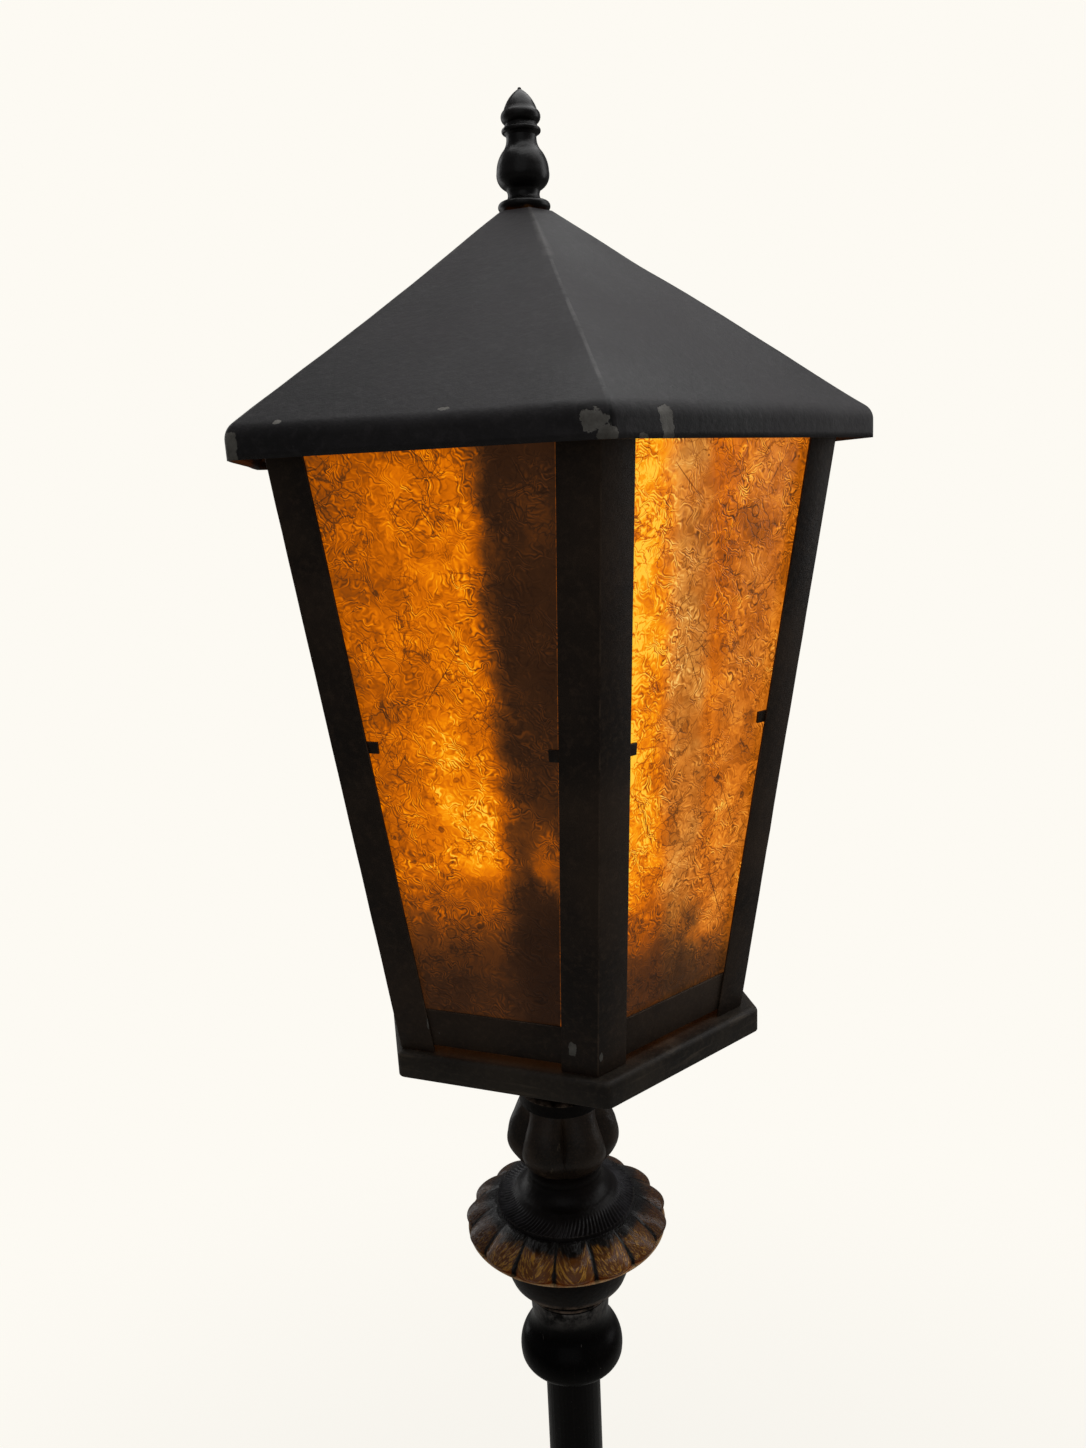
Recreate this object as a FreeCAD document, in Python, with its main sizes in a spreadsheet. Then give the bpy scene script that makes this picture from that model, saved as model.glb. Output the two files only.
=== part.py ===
"""Six-sided mica lantern on a cast and turned stem: a floor lamp, in millimetres, +Z up.

The origin is on the floor, on the lamp's axis. The six sides face 30, 90 ... 330 degrees from +X, so
that the corner posts stand at 0, 60 ... 300 degrees and one side faces -Y. The turned and cast pieces
are stacked from the base up, each one on top of the piece below it.
"""

import FreeCAD, Part
import Sketcher
import math
import os
import re

SIDES = 6
KNUCKLE_TURN = 20.0
COLLAR_TURN = 5.6

# ---------------------------------------------------------------- driving dimensions, millimetres

SIZES = {
    # fits
    "seat_gap": 0.3,
    "running_gap": 0.05,
    "bore_gap": 0.25,
    # base
    "pad_thickness": 2.0,
    "pad_radius": 134.0,
    "base_foot_radius": 142.0,
    "base_foot_height": 14.0,
    "base_step_radius": 129.0,
    "base_step_height": 21.0,
    "base_lobes": 24.0,
    "base_rim_valley": 116.0,
    "base_rim_crest": 121.0,
    "base_bulge_height": 29.0,
    "base_bulge_valley": 113.0,
    "base_bulge_crest": 120.0,
    "base_flank_height": 42.0,
    "base_flank_valley": 96.0,
    "base_flank_crest": 103.0,
    "base_crown_height": 52.0,
    "base_crown_valley": 70.0,
    "base_crown_crest": 73.0,
    "base_shoulder_radius": 66.0,
    "base_shoulder_height": 57.0,
    "base_neck_radius": 25.0,
    "base_neck_height": 86.0,
    "base_ring_radius": 34.0,
    "base_ring_height": 92.0,
    "base_ring_thickness": 7.0,
    "base_collar_radius": 24.0,
    "base_height": 118.0,
    "base_edge_round": 2.0,
    "base_foot_set_back": 3.0,
    "base_overlap": 6.0,
    "base_cavity_radius": 112.0,
    "base_cavity_height": 32.0,
    "base_cavity_crown_radius": 60.0,
    "base_cavity_wall_height": 18.0,
    "weight_radius": 96.0,
    "weight_bore_radius": 20.0,
    "weight_thickness": 12.0,
    "cord_hole_height": 7.2,
    "cord_hole_radius": 4.8,
    "bushing_bore_radius": 3.5,
    "bushing_flange_radius": 6.3,
    "bushing_flange_thickness": 2.0,
    "bushing_flange_edge": 1.0,
    "bushing_overhang": 4.0,
    # pole and the pipe that clamps the stem
    "pole_radius": 16.0,
    "pole_wall": 1.5,
    "pole_length": 901.0,
    "base_socket_depth": 20.0,
    "ball_socket_depth": 10.5,
    "pipe_radius": 5.0,
    "pipe_bore_radius": 3.5,
    # nuts and washers
    "washer_radius": 16.0,
    "washer_thickness": 2.0,
    "nut_radius": 9.5,
    "nut_thickness": 5.0,
    # ball under the gadrooned collar
    "ball_height": 47.5,
    "ball_foot_radius": 20.5,
    "ball_lip_radius": 21.1,
    "ball_lip_height": 1.2,
    "ball_under_radius": 24.5,
    "ball_under_height": 2.6,
    "ball_radius": 29.9,
    "ball_belly_height": 8.5,
    "ball_shoulder_radius": 26.6,
    "ball_shoulder_height": 22.5,
    "ball_waist_radius": 22.3,
    "ball_waist_height": 34.5,
    "ball_top_radius": 23.2,
    # cup that carries the collar
    "cup_height": 45.5,
    "cup_ring_start": 1.0,
    "cup_ring_height": 4.0,
    "cup_cove_radius": 22.8,
    "cup_cove_height": 5.5,
    "cup_under_radius": 27.0,
    "cup_under_height": 7.5,
    "cup_rim_radius": 33.4,
    "cup_rim_height": 12.5,
    "cup_top_radius": 35.0,
    # gadrooned collar
    "collar_height": 14.5,
    "collar_lip_radius": 56.6,
    "collar_lip_height": 1.0,
    "collar_lobes": 15.0,
    "collar_rim_valley": 53.6,
    "collar_rim_crest": 56.2,
    "collar_bulge_height": 4.0,
    "collar_bulge_valley": 53.4,
    "collar_bulge_crest": 57.6,
    "collar_flank_height": 8.5,
    "collar_flank_valley": 48.8,
    "collar_flank_crest": 53.4,
    "collar_shoulder_height": 11.8,
    "collar_shoulder_valley": 44.2,
    "collar_shoulder_crest": 47.6,
    "collar_crown_valley": 39.6,
    "collar_crown_crest": 41.0,
    # neck with its flared foot
    "neck_height": 26.0,
    "foot_radius": 39.4,
    "foot_edge_height": 2.6,
    "foot_slope_radius": 27.0,
    "foot_slope_height": 8.0,
    "neck_waist_radius": 21.0,
    "neck_waist_height": 19.0,
    "neck_top_radius": 22.6,
    # lobed knuckle
    "knuckle_height": 38.0,
    "knuckle_lobes": 6.0,
    "knuckle_foot_valley": 21.8,
    "knuckle_foot_crest": 22.8,
    "knuckle_bulge_height": 6.0,
    "knuckle_bulge_valley": 25.2,
    "knuckle_bulge_crest": 28.6,
    "knuckle_belly_height": 13.0,
    "knuckle_belly_valley": 26.2,
    "knuckle_belly_crest": 31.5,
    "knuckle_flank_height": 22.0,
    "knuckle_flank_valley": 23.4,
    "knuckle_flank_crest": 30.2,
    "knuckle_shoulder_height": 31.0,
    "knuckle_shoulder_valley": 20.6,
    "knuckle_shoulder_crest": 26.6,
    "knuckle_top_valley": 20.8,
    "knuckle_top_crest": 23.4,
    # neck piece between the knuckle and the tray
    "spacer_height": 66.5,
    "spacer_foot_radius": 23.7,
    "spacer_foot_height": 7.0,
    "spacer_waist_radius": 14.0,
    "spacer_waist_height": 32.0,
    "spacer_flange_radius": 40.0,
    "spacer_flange_thickness": 4.0,
    # tray
    "tray_radius": 107.0,
    "tray_band_height": 13.0,
    "tray_sheet": 1.5,
    "tray_edge_round": 3.0,
    "tray_corner_round": 5.0,
    "tray_shift_right": 3.0,
    "tray_shift_back": 1.1,
    # lantern frame
    "lantern_height": 282.0,
    "frame_foot_radius": 101.0,
    "frame_head_radius": 144.5,
    "post_flange": 18.0,
    "post_sheet": 1.2,
    "rail_height": 20.0,
    "rail_lift": 4.0,
    "rail_end_gap": 0.5,
    "head_rail_height": 15.0,
    "head_rail_drop": 2.0,
    "mica_thickness": 1.0,
    "mica_edge_gap": 1.0,
    "mica_lap": 12.0,
    "clip_level": 157.0,
    "clip_height": 5.5,
    "clip_reach": 4.0,
    "clip_hold": 8.0,
    # roof
    "eave_radius": 162.0,
    "skirt_height": 12.0,
    "roof_rise": 108.0,
    "crown_radius": 14.0,
    "roof_sheet": 1.2,
    "eave_roll": 8.0,
    "roof_hole_radius": 4.5,
    "roof_washer_radius": 8.5,
    # two-light cluster
    "cluster_foot_radius": 13.0,
    "cluster_foot_height": 6.0,
    "cluster_cove_height": 10.0,
    "cluster_stem_radius": 8.0,
    "cluster_stem_height": 22.0,
    "cluster_body_radius": 17.0,
    "cluster_body_height": 22.0,
    "arm_reach": 42.0,
    "arm_radius": 4.5,
    "arm_riser_radius": 6.0,
    "arm_rise": 9.0,
    "socket_cap_foot_radius": 9.0,
    "socket_cap_edge_height": 1.5,
    "socket_cap_rim_height": 13.0,
    "socket_cap_height": 16.0,
    "socket_cap_radius": 20.0,
    "socket_shell_height": 46.0,
    "socket_shell_radius": 18.5,
    "socket_wall": 1.5,
    "core_height": 39.5,
    "core_floor": 15.0,
    "bulb_contact_radius": 4.3,
    "bulb_contact_height": 1.5,
    "bulb_insulator_radius": 6.5,
    "bulb_insulator_height": 4.5,
    "bulb_base_radius": 13.0,
    "bulb_base_length": 25.0,
    "bulb_neck_radius": 14.0,
    "bulb_throat_radius": 15.0,
    "bulb_throat_height": 13.0,
    "bulb_shoulder_radius": 29.0,
    "bulb_shoulder_height": 45.5,
    "bulb_radius": 30.0,
    "bulb_belly_height": 52.0,
    "bulb_tip_radius": 1.0,
    "bulb_length": 84.0,
    # rod that the finial screws on
    "rod_radius": 3.2,
    "rod_engagement": 12.0,
    "rod_socket_depth": 10.0,
    "rod_nut_radius": 7.0,
    "rod_nut_thickness": 4.0,
    # finial
    "finial_foot_radius": 10.6,
    "finial_base_radius": 11.6,
    "finial_base_edge_height": 1.2,
    "finial_base_top_radius": 11.0,
    "finial_base_height": 4.8,
    "finial_waist_radius": 8.4,
    "finial_waist_start_height": 5.6,
    "finial_waist_height": 10.5,
    "finial_belly_radius": 12.35,
    "finial_belly_height": 18.2,
    "finial_shoulder_radius": 8.7,
    "finial_shoulder_height": 27.4,
    "finial_neck_radius": 7.1,
    "finial_neck_height": 33.4,
    "finial_ring_radius": 8.0,
    "finial_ring_start_height": 34.5,
    "finial_ring_height": 36.9,
    "finial_groove_radius": 7.4,
    "finial_groove_height": 38.8,
    "finial_bud_radius": 7.9,
    "finial_bud_height": 44.3,
    "finial_tip_radius": 0.8,
    "finial_tip_height": 53.5,
    "finial_point_radius": 0.2,
    "finial_height": 54.3,
    "finial_bore_depth": 15.0,
    "insert_wall": 2.2,
    "insert_length": 11.0,
}

# How far an arc stands off its chord, as a share of the chord: minus is hollow.
FULL = 0.5
ROUND = 0.3
CURVED = 0.18
SOFT = 0.09
FLAT = 0.0

doc = FreeCAD.newDocument("lantern_floor_lamp")
sheet = doc.addObject("Spreadsheet::Sheet", "Sizes")
for row, (alias, number) in enumerate(SIZES.items(), start=1):
    sheet.set("A%d" % row, alias)
    sheet.set("B%d" % row, str(number))
    sheet.setAlias("B%d" % row, alias)
doc.recompute()

sub_parts = []


# ---------------------------------------------------------------- expressions

def bound(text):
    """The expression with each size named as its spreadsheet cell."""
    return re.sub(r"[a-z][a-z0-9_]*", lambda word: "Sizes." + word.group() if word.group() in SIZES
                  else word.group(), text)


def value(text):
    """What the expression comes to now."""
    result = sheet.evalExpression(bound(text))
    return float(getattr(result, "Value", result))


def total(*terms):
    """The sum of several expressions."""
    return " + ".join("(%s)" % term for term in terms)


# ---------------------------------------------------------------- sketches and features

def new_body(label):
    body = doc.addObject("PartDesign::Body", label)
    body.Label = label
    sub_parts.append(body)
    return body


def origin_plane(body, role):
    return next(plane for plane in body.Origin.OriginFeatures if plane.Role == role)


def new_sketch(body, name, role="XY_Plane", level="0", turn=0.0):
    """A sketch on one of the body's origin planes, moved along the plane's normal and turned in it."""
    sketch = body.newObject("Sketcher::SketchObject", name)
    sketch.AttachmentSupport = [(origin_plane(body, role), "")]
    sketch.MapMode = "FlatFace"
    rotation = FreeCAD.Rotation(FreeCAD.Vector(0, 0, 1), turn)
    sketch.AttachmentOffset = FreeCAD.Placement(FreeCAD.Vector(0, 0, value(level)), rotation)
    if level != "0":
        sketch.setExpression("AttachmentOffset.Base.z", bound(level))
    return sketch


def bind(sketch, constraint, expression):
    index = sketch.addConstraint(constraint)
    sketch.setExpression("Constraints[%d]" % index, bound(expression))


def fix_point(sketch, geometry, end, across, along):
    """Hold a point at its two distances from the sketch's origin."""
    if across == "0":
        sketch.addConstraint(Sketcher.Constraint("PointOnObject", geometry, end, -2))
    else:
        bind(sketch, Sketcher.Constraint("DistanceX", -1, 1, geometry, end, value(across)), across)
    if along == "0":
        sketch.addConstraint(Sketcher.Constraint("PointOnObject", geometry, end, -1))
    else:
        bind(sketch, Sketcher.Constraint("DistanceY", -1, 1, geometry, end, value(along)), along)


def draw(sketch, stations):
    """A closed outline, anticlockwise, from (across, along, bow) stations.

    bow belongs to the stretch that starts at the station: nought is a line, plus an arc that stands
    out of the outline and minus an arc that is hollow.
    """
    points = [FreeCAD.Vector(value(across), value(along), 0) for across, along, bow in stations]
    ends = []
    for index, (across, along, bow) in enumerate(stations):
        start = points[index]
        finish = points[(index + 1) % len(points)]
        chord = finish - start
        if bow == 0:
            geometry = sketch.addGeometry(Part.LineSegment(start, finish), False)
            ends.append((geometry, 1, 2))
            continue
        outward = FreeCAD.Vector(chord.y, -chord.x, 0)
        middle = (start + finish) * 0.5 + outward * bow
        if bow > 0:
            geometry = sketch.addGeometry(Part.Arc(start, middle, finish), False)
            ends.append((geometry, 1, 2))
        else:
            geometry = sketch.addGeometry(Part.Arc(finish, middle, start), False)
            ends.append((geometry, 2, 1))
    for index, (across, along, bow) in enumerate(stations):
        geometry, first, last = ends[index]
        following = ends[(index + 1) % len(ends)]
        sketch.addConstraint(Sketcher.Constraint("Coincident", geometry, last, following[0], following[1]))
        fix_point(sketch, geometry, first, across, along)
        if bow != 0:
            next_across, next_along, next_bow = stations[(index + 1) % len(stations)]
            share = abs(bow)
            radius = "sqrt(((%s) - (%s))^2 + ((%s) - (%s))^2) * %.6f" % (
                next_across, across, next_along, along, 1 / (8 * share) + share / 2)
            if share < FULL:
                bind(sketch, Sketcher.Constraint("Radius", geometry, value(radius)), radius)


def circle(sketch, radius, across="0", along="0"):
    centre = FreeCAD.Vector(value(across), value(along), 0)
    geometry = sketch.addGeometry(Part.Circle(centre, FreeCAD.Vector(0, 0, 1), value(radius)), False)
    bind(sketch, Sketcher.Constraint("Radius", geometry, value(radius)), radius)
    if across == "0" and along == "0":
        sketch.addConstraint(Sketcher.Constraint("Coincident", geometry, 3, -1, 1))
    else:
        fix_point(sketch, geometry, 3, across, along)


def hexagon(sketch, radius):
    """A regular outline with a corner on the sketch's first axis."""
    corners = []
    for corner in range(SIDES):
        angle = 360.0 / SIDES * corner
        along = "0" if corner % (SIDES // 2) == 0 else "(%s) * %.9f" % (radius, math.sin(math.radians(angle)))
        corners.append(("(%s) * %.9f" % (radius, math.cos(math.radians(angle))), along, FLAT))
    draw(sketch, corners)


def feature(body, kind, name, profile):
    made = body.newObject("PartDesign::" + kind, name)
    made.Profile = profile
    return made


def pad(body, name, profile, length, midplane=False, reversed_=False):
    made = feature(body, "Pad", name, profile)
    made.Length = value(length)
    made.setExpression("Length", bound(length))
    made.Midplane = midplane
    made.Reversed = reversed_
    return made


def pocket(body, name, profile, length, midplane=False, reversed_=False):
    """A cut; the body has to lose volume by it."""
    doc.recompute()
    before = body.Shape.Volume
    made = feature(body, "Pocket", name, profile)
    made.Length = value(length)
    made.setExpression("Length", bound(length))
    made.Midplane = midplane
    made.Reversed = reversed_
    doc.recompute()
    if body.Shape.Volume >= before:
        raise RuntimeError("%s cuts nothing in %s" % (name, body.Label))


def revolve(body, name, profile):
    made = feature(body, "Revolution", name, profile)
    made.ReferenceAxis = (profile, ["V_Axis"])
    made.Angle = 360.0
    return made


def turned(label, stations, bore=None):
    """A piece turned round the lamp's axis: the stations run up its outside, from its foot at nought."""
    body = new_body(label)
    sketch = new_sketch(body, label + "_outline", "XZ_Plane")
    foot, head = stations[0], stations[-1]
    inside = bore or "0"
    draw(sketch, [(inside, foot[1], FLAT)] + stations[:-1] + [(head[0], head[1], FLAT), (inside, head[1], FLAT)])
    revolve(body, label + "_turning", sketch)
    return body


def scalloped(sketch, lobes, valley, crest):
    """A closed ring of outward arcs: they meet at the valley radius and reach out to the crest."""
    half = 180.0 / lobes
    chord = "(2 * (%s) * %.9f)" % (valley, math.sin(math.radians(half)))
    rise = "((%s) - (%s) * %.9f)" % (crest, valley, math.cos(math.radians(half)))
    radius = "%s^2 / (8 * %s) + %s / 2" % (chord, rise, rise)
    first = sketch.GeometryCount
    for lobe in range(lobes):
        middle = 2 * half * lobe
        ends = [turned_point(valley, middle - half), turned_point(crest, middle),
                turned_point(valley, middle + half)]
        sketch.addGeometry(Part.Arc(*ends), False)
    for lobe in range(lobes):
        arc = first + lobe
        sketch.addConstraint(Sketcher.Constraint("Coincident", arc, 2, first + (lobe + 1) % lobes, 1))
        angle = math.radians(2 * half * lobe - half)
        for kind, share in (("DistanceX", math.cos(angle)), ("DistanceY", math.sin(angle))):
            place = "(%s) * %.9f" % (valley, share)
            if abs(share) > 1e-9:
                bind(sketch, Sketcher.Constraint(kind, -1, 1, arc, 1, value(place)), place)
            else:
                axis = -2 if kind == "DistanceX" else -1
                sketch.addConstraint(Sketcher.Constraint("PointOnObject", arc, 1, axis))
        bind(sketch, Sketcher.Constraint("Radius", arc, value(radius)), radius)


def turned_point(radius, angle):
    turn = math.radians(angle)
    return FreeCAD.Vector(value(radius) * math.cos(turn), value(radius) * math.sin(turn), 0)


def lobed_loft(body, name, count, sections):
    """Gadroons: one smooth loft through scalloped sections, given as (height, valley, crest)."""
    lobes = int(value(count))
    drawn = []
    for number, (height, valley, crest) in enumerate(sections, start=1):
        sketch = new_sketch(body, "%s_section_%d" % (name, number), "XY_Plane", height)
        scalloped(sketch, lobes, valley, crest)
        drawn.append(sketch)
    made = feature(body, "AdditiveLoft", name, drawn[0])
    made.Sections = drawn[1:]
    made.Ruled = False
    return made


def raise_to(body, level):
    """Stand the body at its level in the stack."""
    body.Placement = FreeCAD.Placement(FreeCAD.Vector(0, 0, value(level)), body.Placement.Rotation)
    body.setExpression("Placement.Base.z", bound(level))


def six_sided_nut(label, radius, thickness, bore, level):
    body = new_body(label)
    sketch = new_sketch(body, label + "_outline")
    hexagon(sketch, radius)
    circle(sketch, bore)
    pad(body, label + "_block", sketch, thickness)
    raise_to(body, level)
    return body


# ---------------------------------------------------------------- levels of the stack

BASE_BOTTOM = "pad_thickness"
BASE_TOP = total(BASE_BOTTOM, "base_height")
POLE_BOTTOM = total(BASE_TOP, "-base_socket_depth")
POLE_TOP = total(POLE_BOTTOM, "pole_length")
BALL_BOTTOM = total(POLE_TOP, "-ball_socket_depth")
CUP_BOTTOM = total(BALL_BOTTOM, "ball_height")
COLLAR_BOTTOM = total(CUP_BOTTOM, "cup_height")
NECK_BOTTOM = total(COLLAR_BOTTOM, "collar_height")
KNUCKLE_BOTTOM = total(NECK_BOTTOM, "neck_height")
SPACER_BOTTOM = total(KNUCKLE_BOTTOM, "knuckle_height")
TRAY_UNDERSIDE = total(SPACER_BOTTOM, "spacer_height")
TRAY_TOP = total(TRAY_UNDERSIDE, "tray_sheet")
SKIRT_BOTTOM = total(TRAY_TOP, "lantern_height")
EAVE = total(SKIRT_BOTTOM, "skirt_height")
CROWN = total(EAVE, "roof_rise * (1 - crown_radius / eave_radius)")
PIPE_BORE = "pipe_radius + bore_gap"


# ---------------------------------------------------------------- base

BUSHING_SEAT = "base_foot_radius - bushing_flange_thickness"


def make_base():
    """A stepped cast dome with a ring of lobes, hollow underneath, with a socket for the pole."""
    body = turned("base_casting", [
        ("base_foot_radius - base_edge_round", "0", FLAT),
        ("base_foot_radius", "base_edge_round", FLAT),
        ("base_foot_radius", "base_foot_height - base_edge_round", CURVED),
        ("base_foot_radius - base_foot_set_back", "base_foot_height", FLAT),
        ("base_step_radius", "base_foot_height", -CURVED),
        ("base_rim_valley - base_edge_round", "base_step_height", FLAT),
        ("base_shoulder_radius - base_overlap", "base_step_height", FLAT),
        ("base_shoulder_radius - base_overlap", "base_crown_height", FLAT),
        ("base_shoulder_radius", "base_crown_height", FLAT),
        ("base_shoulder_radius", "base_shoulder_height", -CURVED),
        ("base_neck_radius", "base_neck_height", FLAT),
        ("base_neck_radius", "base_ring_height - base_ring_thickness / 2", FLAT),
        ("base_ring_radius", "base_ring_height - base_ring_thickness / 2", FULL),
        ("base_ring_radius", "base_ring_height + base_ring_thickness / 2", FLAT),
        ("base_collar_radius", "base_ring_height + base_ring_thickness / 2", FLAT),
        ("base_collar_radius", "base_height", FLAT),
    ])
    lobed_loft(body, "base_gadroons", "base_lobes", [
        ("base_step_height", "base_rim_valley", "base_rim_crest"),
        ("base_bulge_height", "base_bulge_valley", "base_bulge_crest"),
        ("base_flank_height", "base_flank_valley", "base_flank_crest"),
        ("base_crown_height", "base_crown_valley", "base_crown_crest")])
    hollow = new_sketch(body, "base_hollow_outline", "XZ_Plane")
    draw(hollow, [("0", "0", FLAT), ("base_cavity_radius", "0", FLAT),
                  ("base_cavity_radius", "base_cavity_wall_height", FLAT),
                  ("base_cavity_crown_radius", "base_cavity_height", FLAT),
                  ("0", "base_cavity_height", FLAT)])
    cut_round(body, "base_hollow", hollow)
    socket = new_sketch(body, "base_socket_outline", "XY_Plane", "base_height")
    circle(socket, "pole_radius + running_gap")
    pocket(body, "base_socket", socket, "base_socket_depth")
    bore_through(body, "base_height")
    way = new_sketch(body, "base_cord_hole_outline", "XZ_Plane")
    circle(way, "cord_hole_radius", "0", "cord_hole_height")
    pocket(body, "base_cord_hole", way, "base_foot_radius")
    seat = new_sketch(body, "base_cord_seat_outline", "XZ_Plane", "-(%s)" % BUSHING_SEAT)
    circle(seat, "bushing_flange_radius + running_gap", "0", "cord_hole_height")
    pocket(body, "base_cord_seat", seat, "2 * bushing_flange_thickness")
    raise_to(body, BASE_BOTTOM)


def bore_through(body, height):
    """The hole that the through pipe runs in, from the piece's foot to its head."""
    sketch = new_sketch(body, body.Label + "_bore_outline")
    circle(sketch, PIPE_BORE)
    pocket(body, body.Label + "_bore", sketch, height, reversed_=True)


def cut_round(body, name, profile):
    """A turned hollow; the body has to lose volume by it."""
    doc.recompute()
    before = body.Shape.Volume
    made = feature(body, "Groove", name, profile)
    made.ReferenceAxis = (profile, ["V_Axis"])
    made.Angle = 360.0
    doc.recompute()
    if body.Shape.Volume >= before:
        raise RuntimeError("%s cuts nothing in %s" % (name, body.Label))
    return made


def disc(label, radius, thickness, bore, level):
    body = new_body(label)
    sketch = new_sketch(body, label + "_outline")
    circle(sketch, radius)
    circle(sketch, bore)
    pad(body, label + "_plate", sketch, thickness)
    raise_to(body, level)
    return body


def make_base_fittings():
    """Felt pad, iron weight, washer and nut under the pipe, and the bushing that a cord would pass."""
    pad_body = new_body("felt_pad")
    sketch = new_sketch(pad_body, "felt_pad_outline")
    circle(sketch, "pad_radius")
    pad(pad_body, "felt_pad_sheet", sketch, "pad_thickness")
    disc("base_weight", "weight_radius", "weight_thickness", "weight_bore_radius", BASE_BOTTOM)
    washer_level = total(BASE_BOTTOM, "base_cavity_height", "-washer_thickness")
    disc("base_washer", "washer_radius", "washer_thickness", PIPE_BORE, washer_level)
    six_sided_nut("base_nut", "nut_radius", "nut_thickness", PIPE_BORE,
                  total(washer_level, "-nut_thickness"))
    bushing = new_body("cord_bushing")
    sketch = new_sketch(bushing, "cord_bushing_outline", "XZ_Plane")
    draw(sketch, [("bushing_bore_radius", "base_cavity_radius - bushing_overhang", FLAT),
                  ("cord_hole_radius - running_gap", "base_cavity_radius - bushing_overhang", FLAT),
                  ("cord_hole_radius - running_gap", BUSHING_SEAT, FLAT),
                  ("bushing_flange_radius", BUSHING_SEAT, FLAT),
                  ("bushing_flange_radius", BUSHING_SEAT + " + bushing_flange_edge", CURVED),
                  ("cord_hole_radius", "base_foot_radius", FLAT),
                  ("bushing_bore_radius", "base_foot_radius", FLAT)])
    revolve(bushing, "cord_bushing_turning", sketch)
    level = total(BASE_BOTTOM, "cord_hole_height")
    bushing.Placement = FreeCAD.Placement(FreeCAD.Vector(0, 0, value(level)),
                                          FreeCAD.Rotation(FreeCAD.Vector(1, 0, 0), -90))
    bushing.setExpression("Placement.Base.z", bound(level))


# ---------------------------------------------------------------- pole and stem

def tube(label, radius, bore, length, level):
    body = new_body(label)
    sketch = new_sketch(body, label + "_section")
    circle(sketch, radius)
    circle(sketch, bore)
    pad(body, label + "_wall", sketch, length)
    raise_to(body, level)
    return body


def make_pole():
    tube("pole_tube", "pole_radius", "pole_radius - pole_wall", "pole_length", POLE_BOTTOM)
    foot = total(BASE_BOTTOM, "base_cavity_height", "-washer_thickness", "-nut_thickness", "-seat_gap")
    head = total(TRAY_TOP, "cluster_stem_height")
    tube("through_pipe", "pipe_radius", "pipe_bore_radius", "%s - (%s)" % (head, foot), foot)


def make_ball():
    body = turned("stem_ball", [
        ("ball_foot_radius", "0", FLAT),
        ("ball_lip_radius", "ball_lip_height", FLAT),
        ("ball_under_radius", "ball_under_height", CURVED),
        ("ball_radius", "ball_belly_height", SOFT),
        ("ball_shoulder_radius", "ball_shoulder_height", -SOFT),
        ("ball_waist_radius", "ball_waist_height", FLAT),
        ("ball_top_radius", "ball_height", FLAT),
    ], bore=PIPE_BORE)
    socket = new_sketch(body, "stem_ball_socket_outline")
    circle(socket, "pole_radius + running_gap")
    pocket(body, "stem_ball_socket", socket, "ball_socket_depth", reversed_=True)
    raise_to(body, BALL_BOTTOM)


def make_cup():
    body = turned("stem_cup", [
        ("cup_cove_radius", "0", FLAT),
        ("cup_cove_radius", "cup_ring_start", FULL),
        ("cup_cove_radius", "cup_ring_height", FLAT),
        ("cup_cove_radius", "cup_cove_height", -CURVED),
        ("cup_under_radius", "cup_under_height", FLAT),
        ("cup_rim_radius", "cup_rim_height", SOFT),
        ("cup_top_radius", "cup_height", FLAT),
    ], bore=PIPE_BORE)
    raise_to(body, CUP_BOTTOM)


def make_collar():
    """The gadrooned collar: lobes that swell from the foot of the neck down to a crisp lip."""
    body = new_body("gadroon_collar")
    lip = new_sketch(body, "collar_lip_outline")
    circle(lip, "collar_lip_radius")
    pad(body, "collar_lip", lip, "collar_lip_height")
    lobed_loft(body, "collar_gadroons", "collar_lobes", [
        ("collar_lip_height", "collar_rim_valley", "collar_rim_crest"),
        ("collar_bulge_height", "collar_bulge_valley", "collar_bulge_crest"),
        ("collar_flank_height", "collar_flank_valley", "collar_flank_crest"),
        ("collar_shoulder_height", "collar_shoulder_valley", "collar_shoulder_crest"),
        ("collar_height", "collar_crown_valley", "collar_crown_crest")])
    bore_through(body, "collar_height")
    body.Placement = FreeCAD.Placement(FreeCAD.Vector(), FreeCAD.Rotation(FreeCAD.Vector(0, 0, 1), COLLAR_TURN))
    raise_to(body, COLLAR_BOTTOM)


def make_neck():
    body = turned("stem_neck", [
        ("foot_radius", "0", FLAT),
        ("foot_radius", "foot_edge_height", -SOFT),
        ("foot_slope_radius", "foot_slope_height", -CURVED),
        ("neck_waist_radius", "neck_waist_height", -SOFT),
        ("neck_top_radius", "neck_height", FLAT),
    ], bore=PIPE_BORE)
    raise_to(body, NECK_BOTTOM)


def make_knuckle():
    """A closed bud of six lobes on the neck."""
    body = new_body("lobed_knuckle")
    lobed_loft(body, "knuckle_bud", "knuckle_lobes", [
        ("0", "knuckle_foot_valley", "knuckle_foot_crest"),
        ("knuckle_bulge_height", "knuckle_bulge_valley", "knuckle_bulge_crest"),
        ("knuckle_belly_height", "knuckle_belly_valley", "knuckle_belly_crest"),
        ("knuckle_flank_height", "knuckle_flank_valley", "knuckle_flank_crest"),
        ("knuckle_shoulder_height", "knuckle_shoulder_valley", "knuckle_shoulder_crest"),
        ("knuckle_height", "knuckle_top_valley", "knuckle_top_crest")])
    bore_through(body, "knuckle_height")
    body.Placement = FreeCAD.Placement(FreeCAD.Vector(), FreeCAD.Rotation(FreeCAD.Vector(0, 0, 1), KNUCKLE_TURN))
    raise_to(body, KNUCKLE_BOTTOM)


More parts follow.
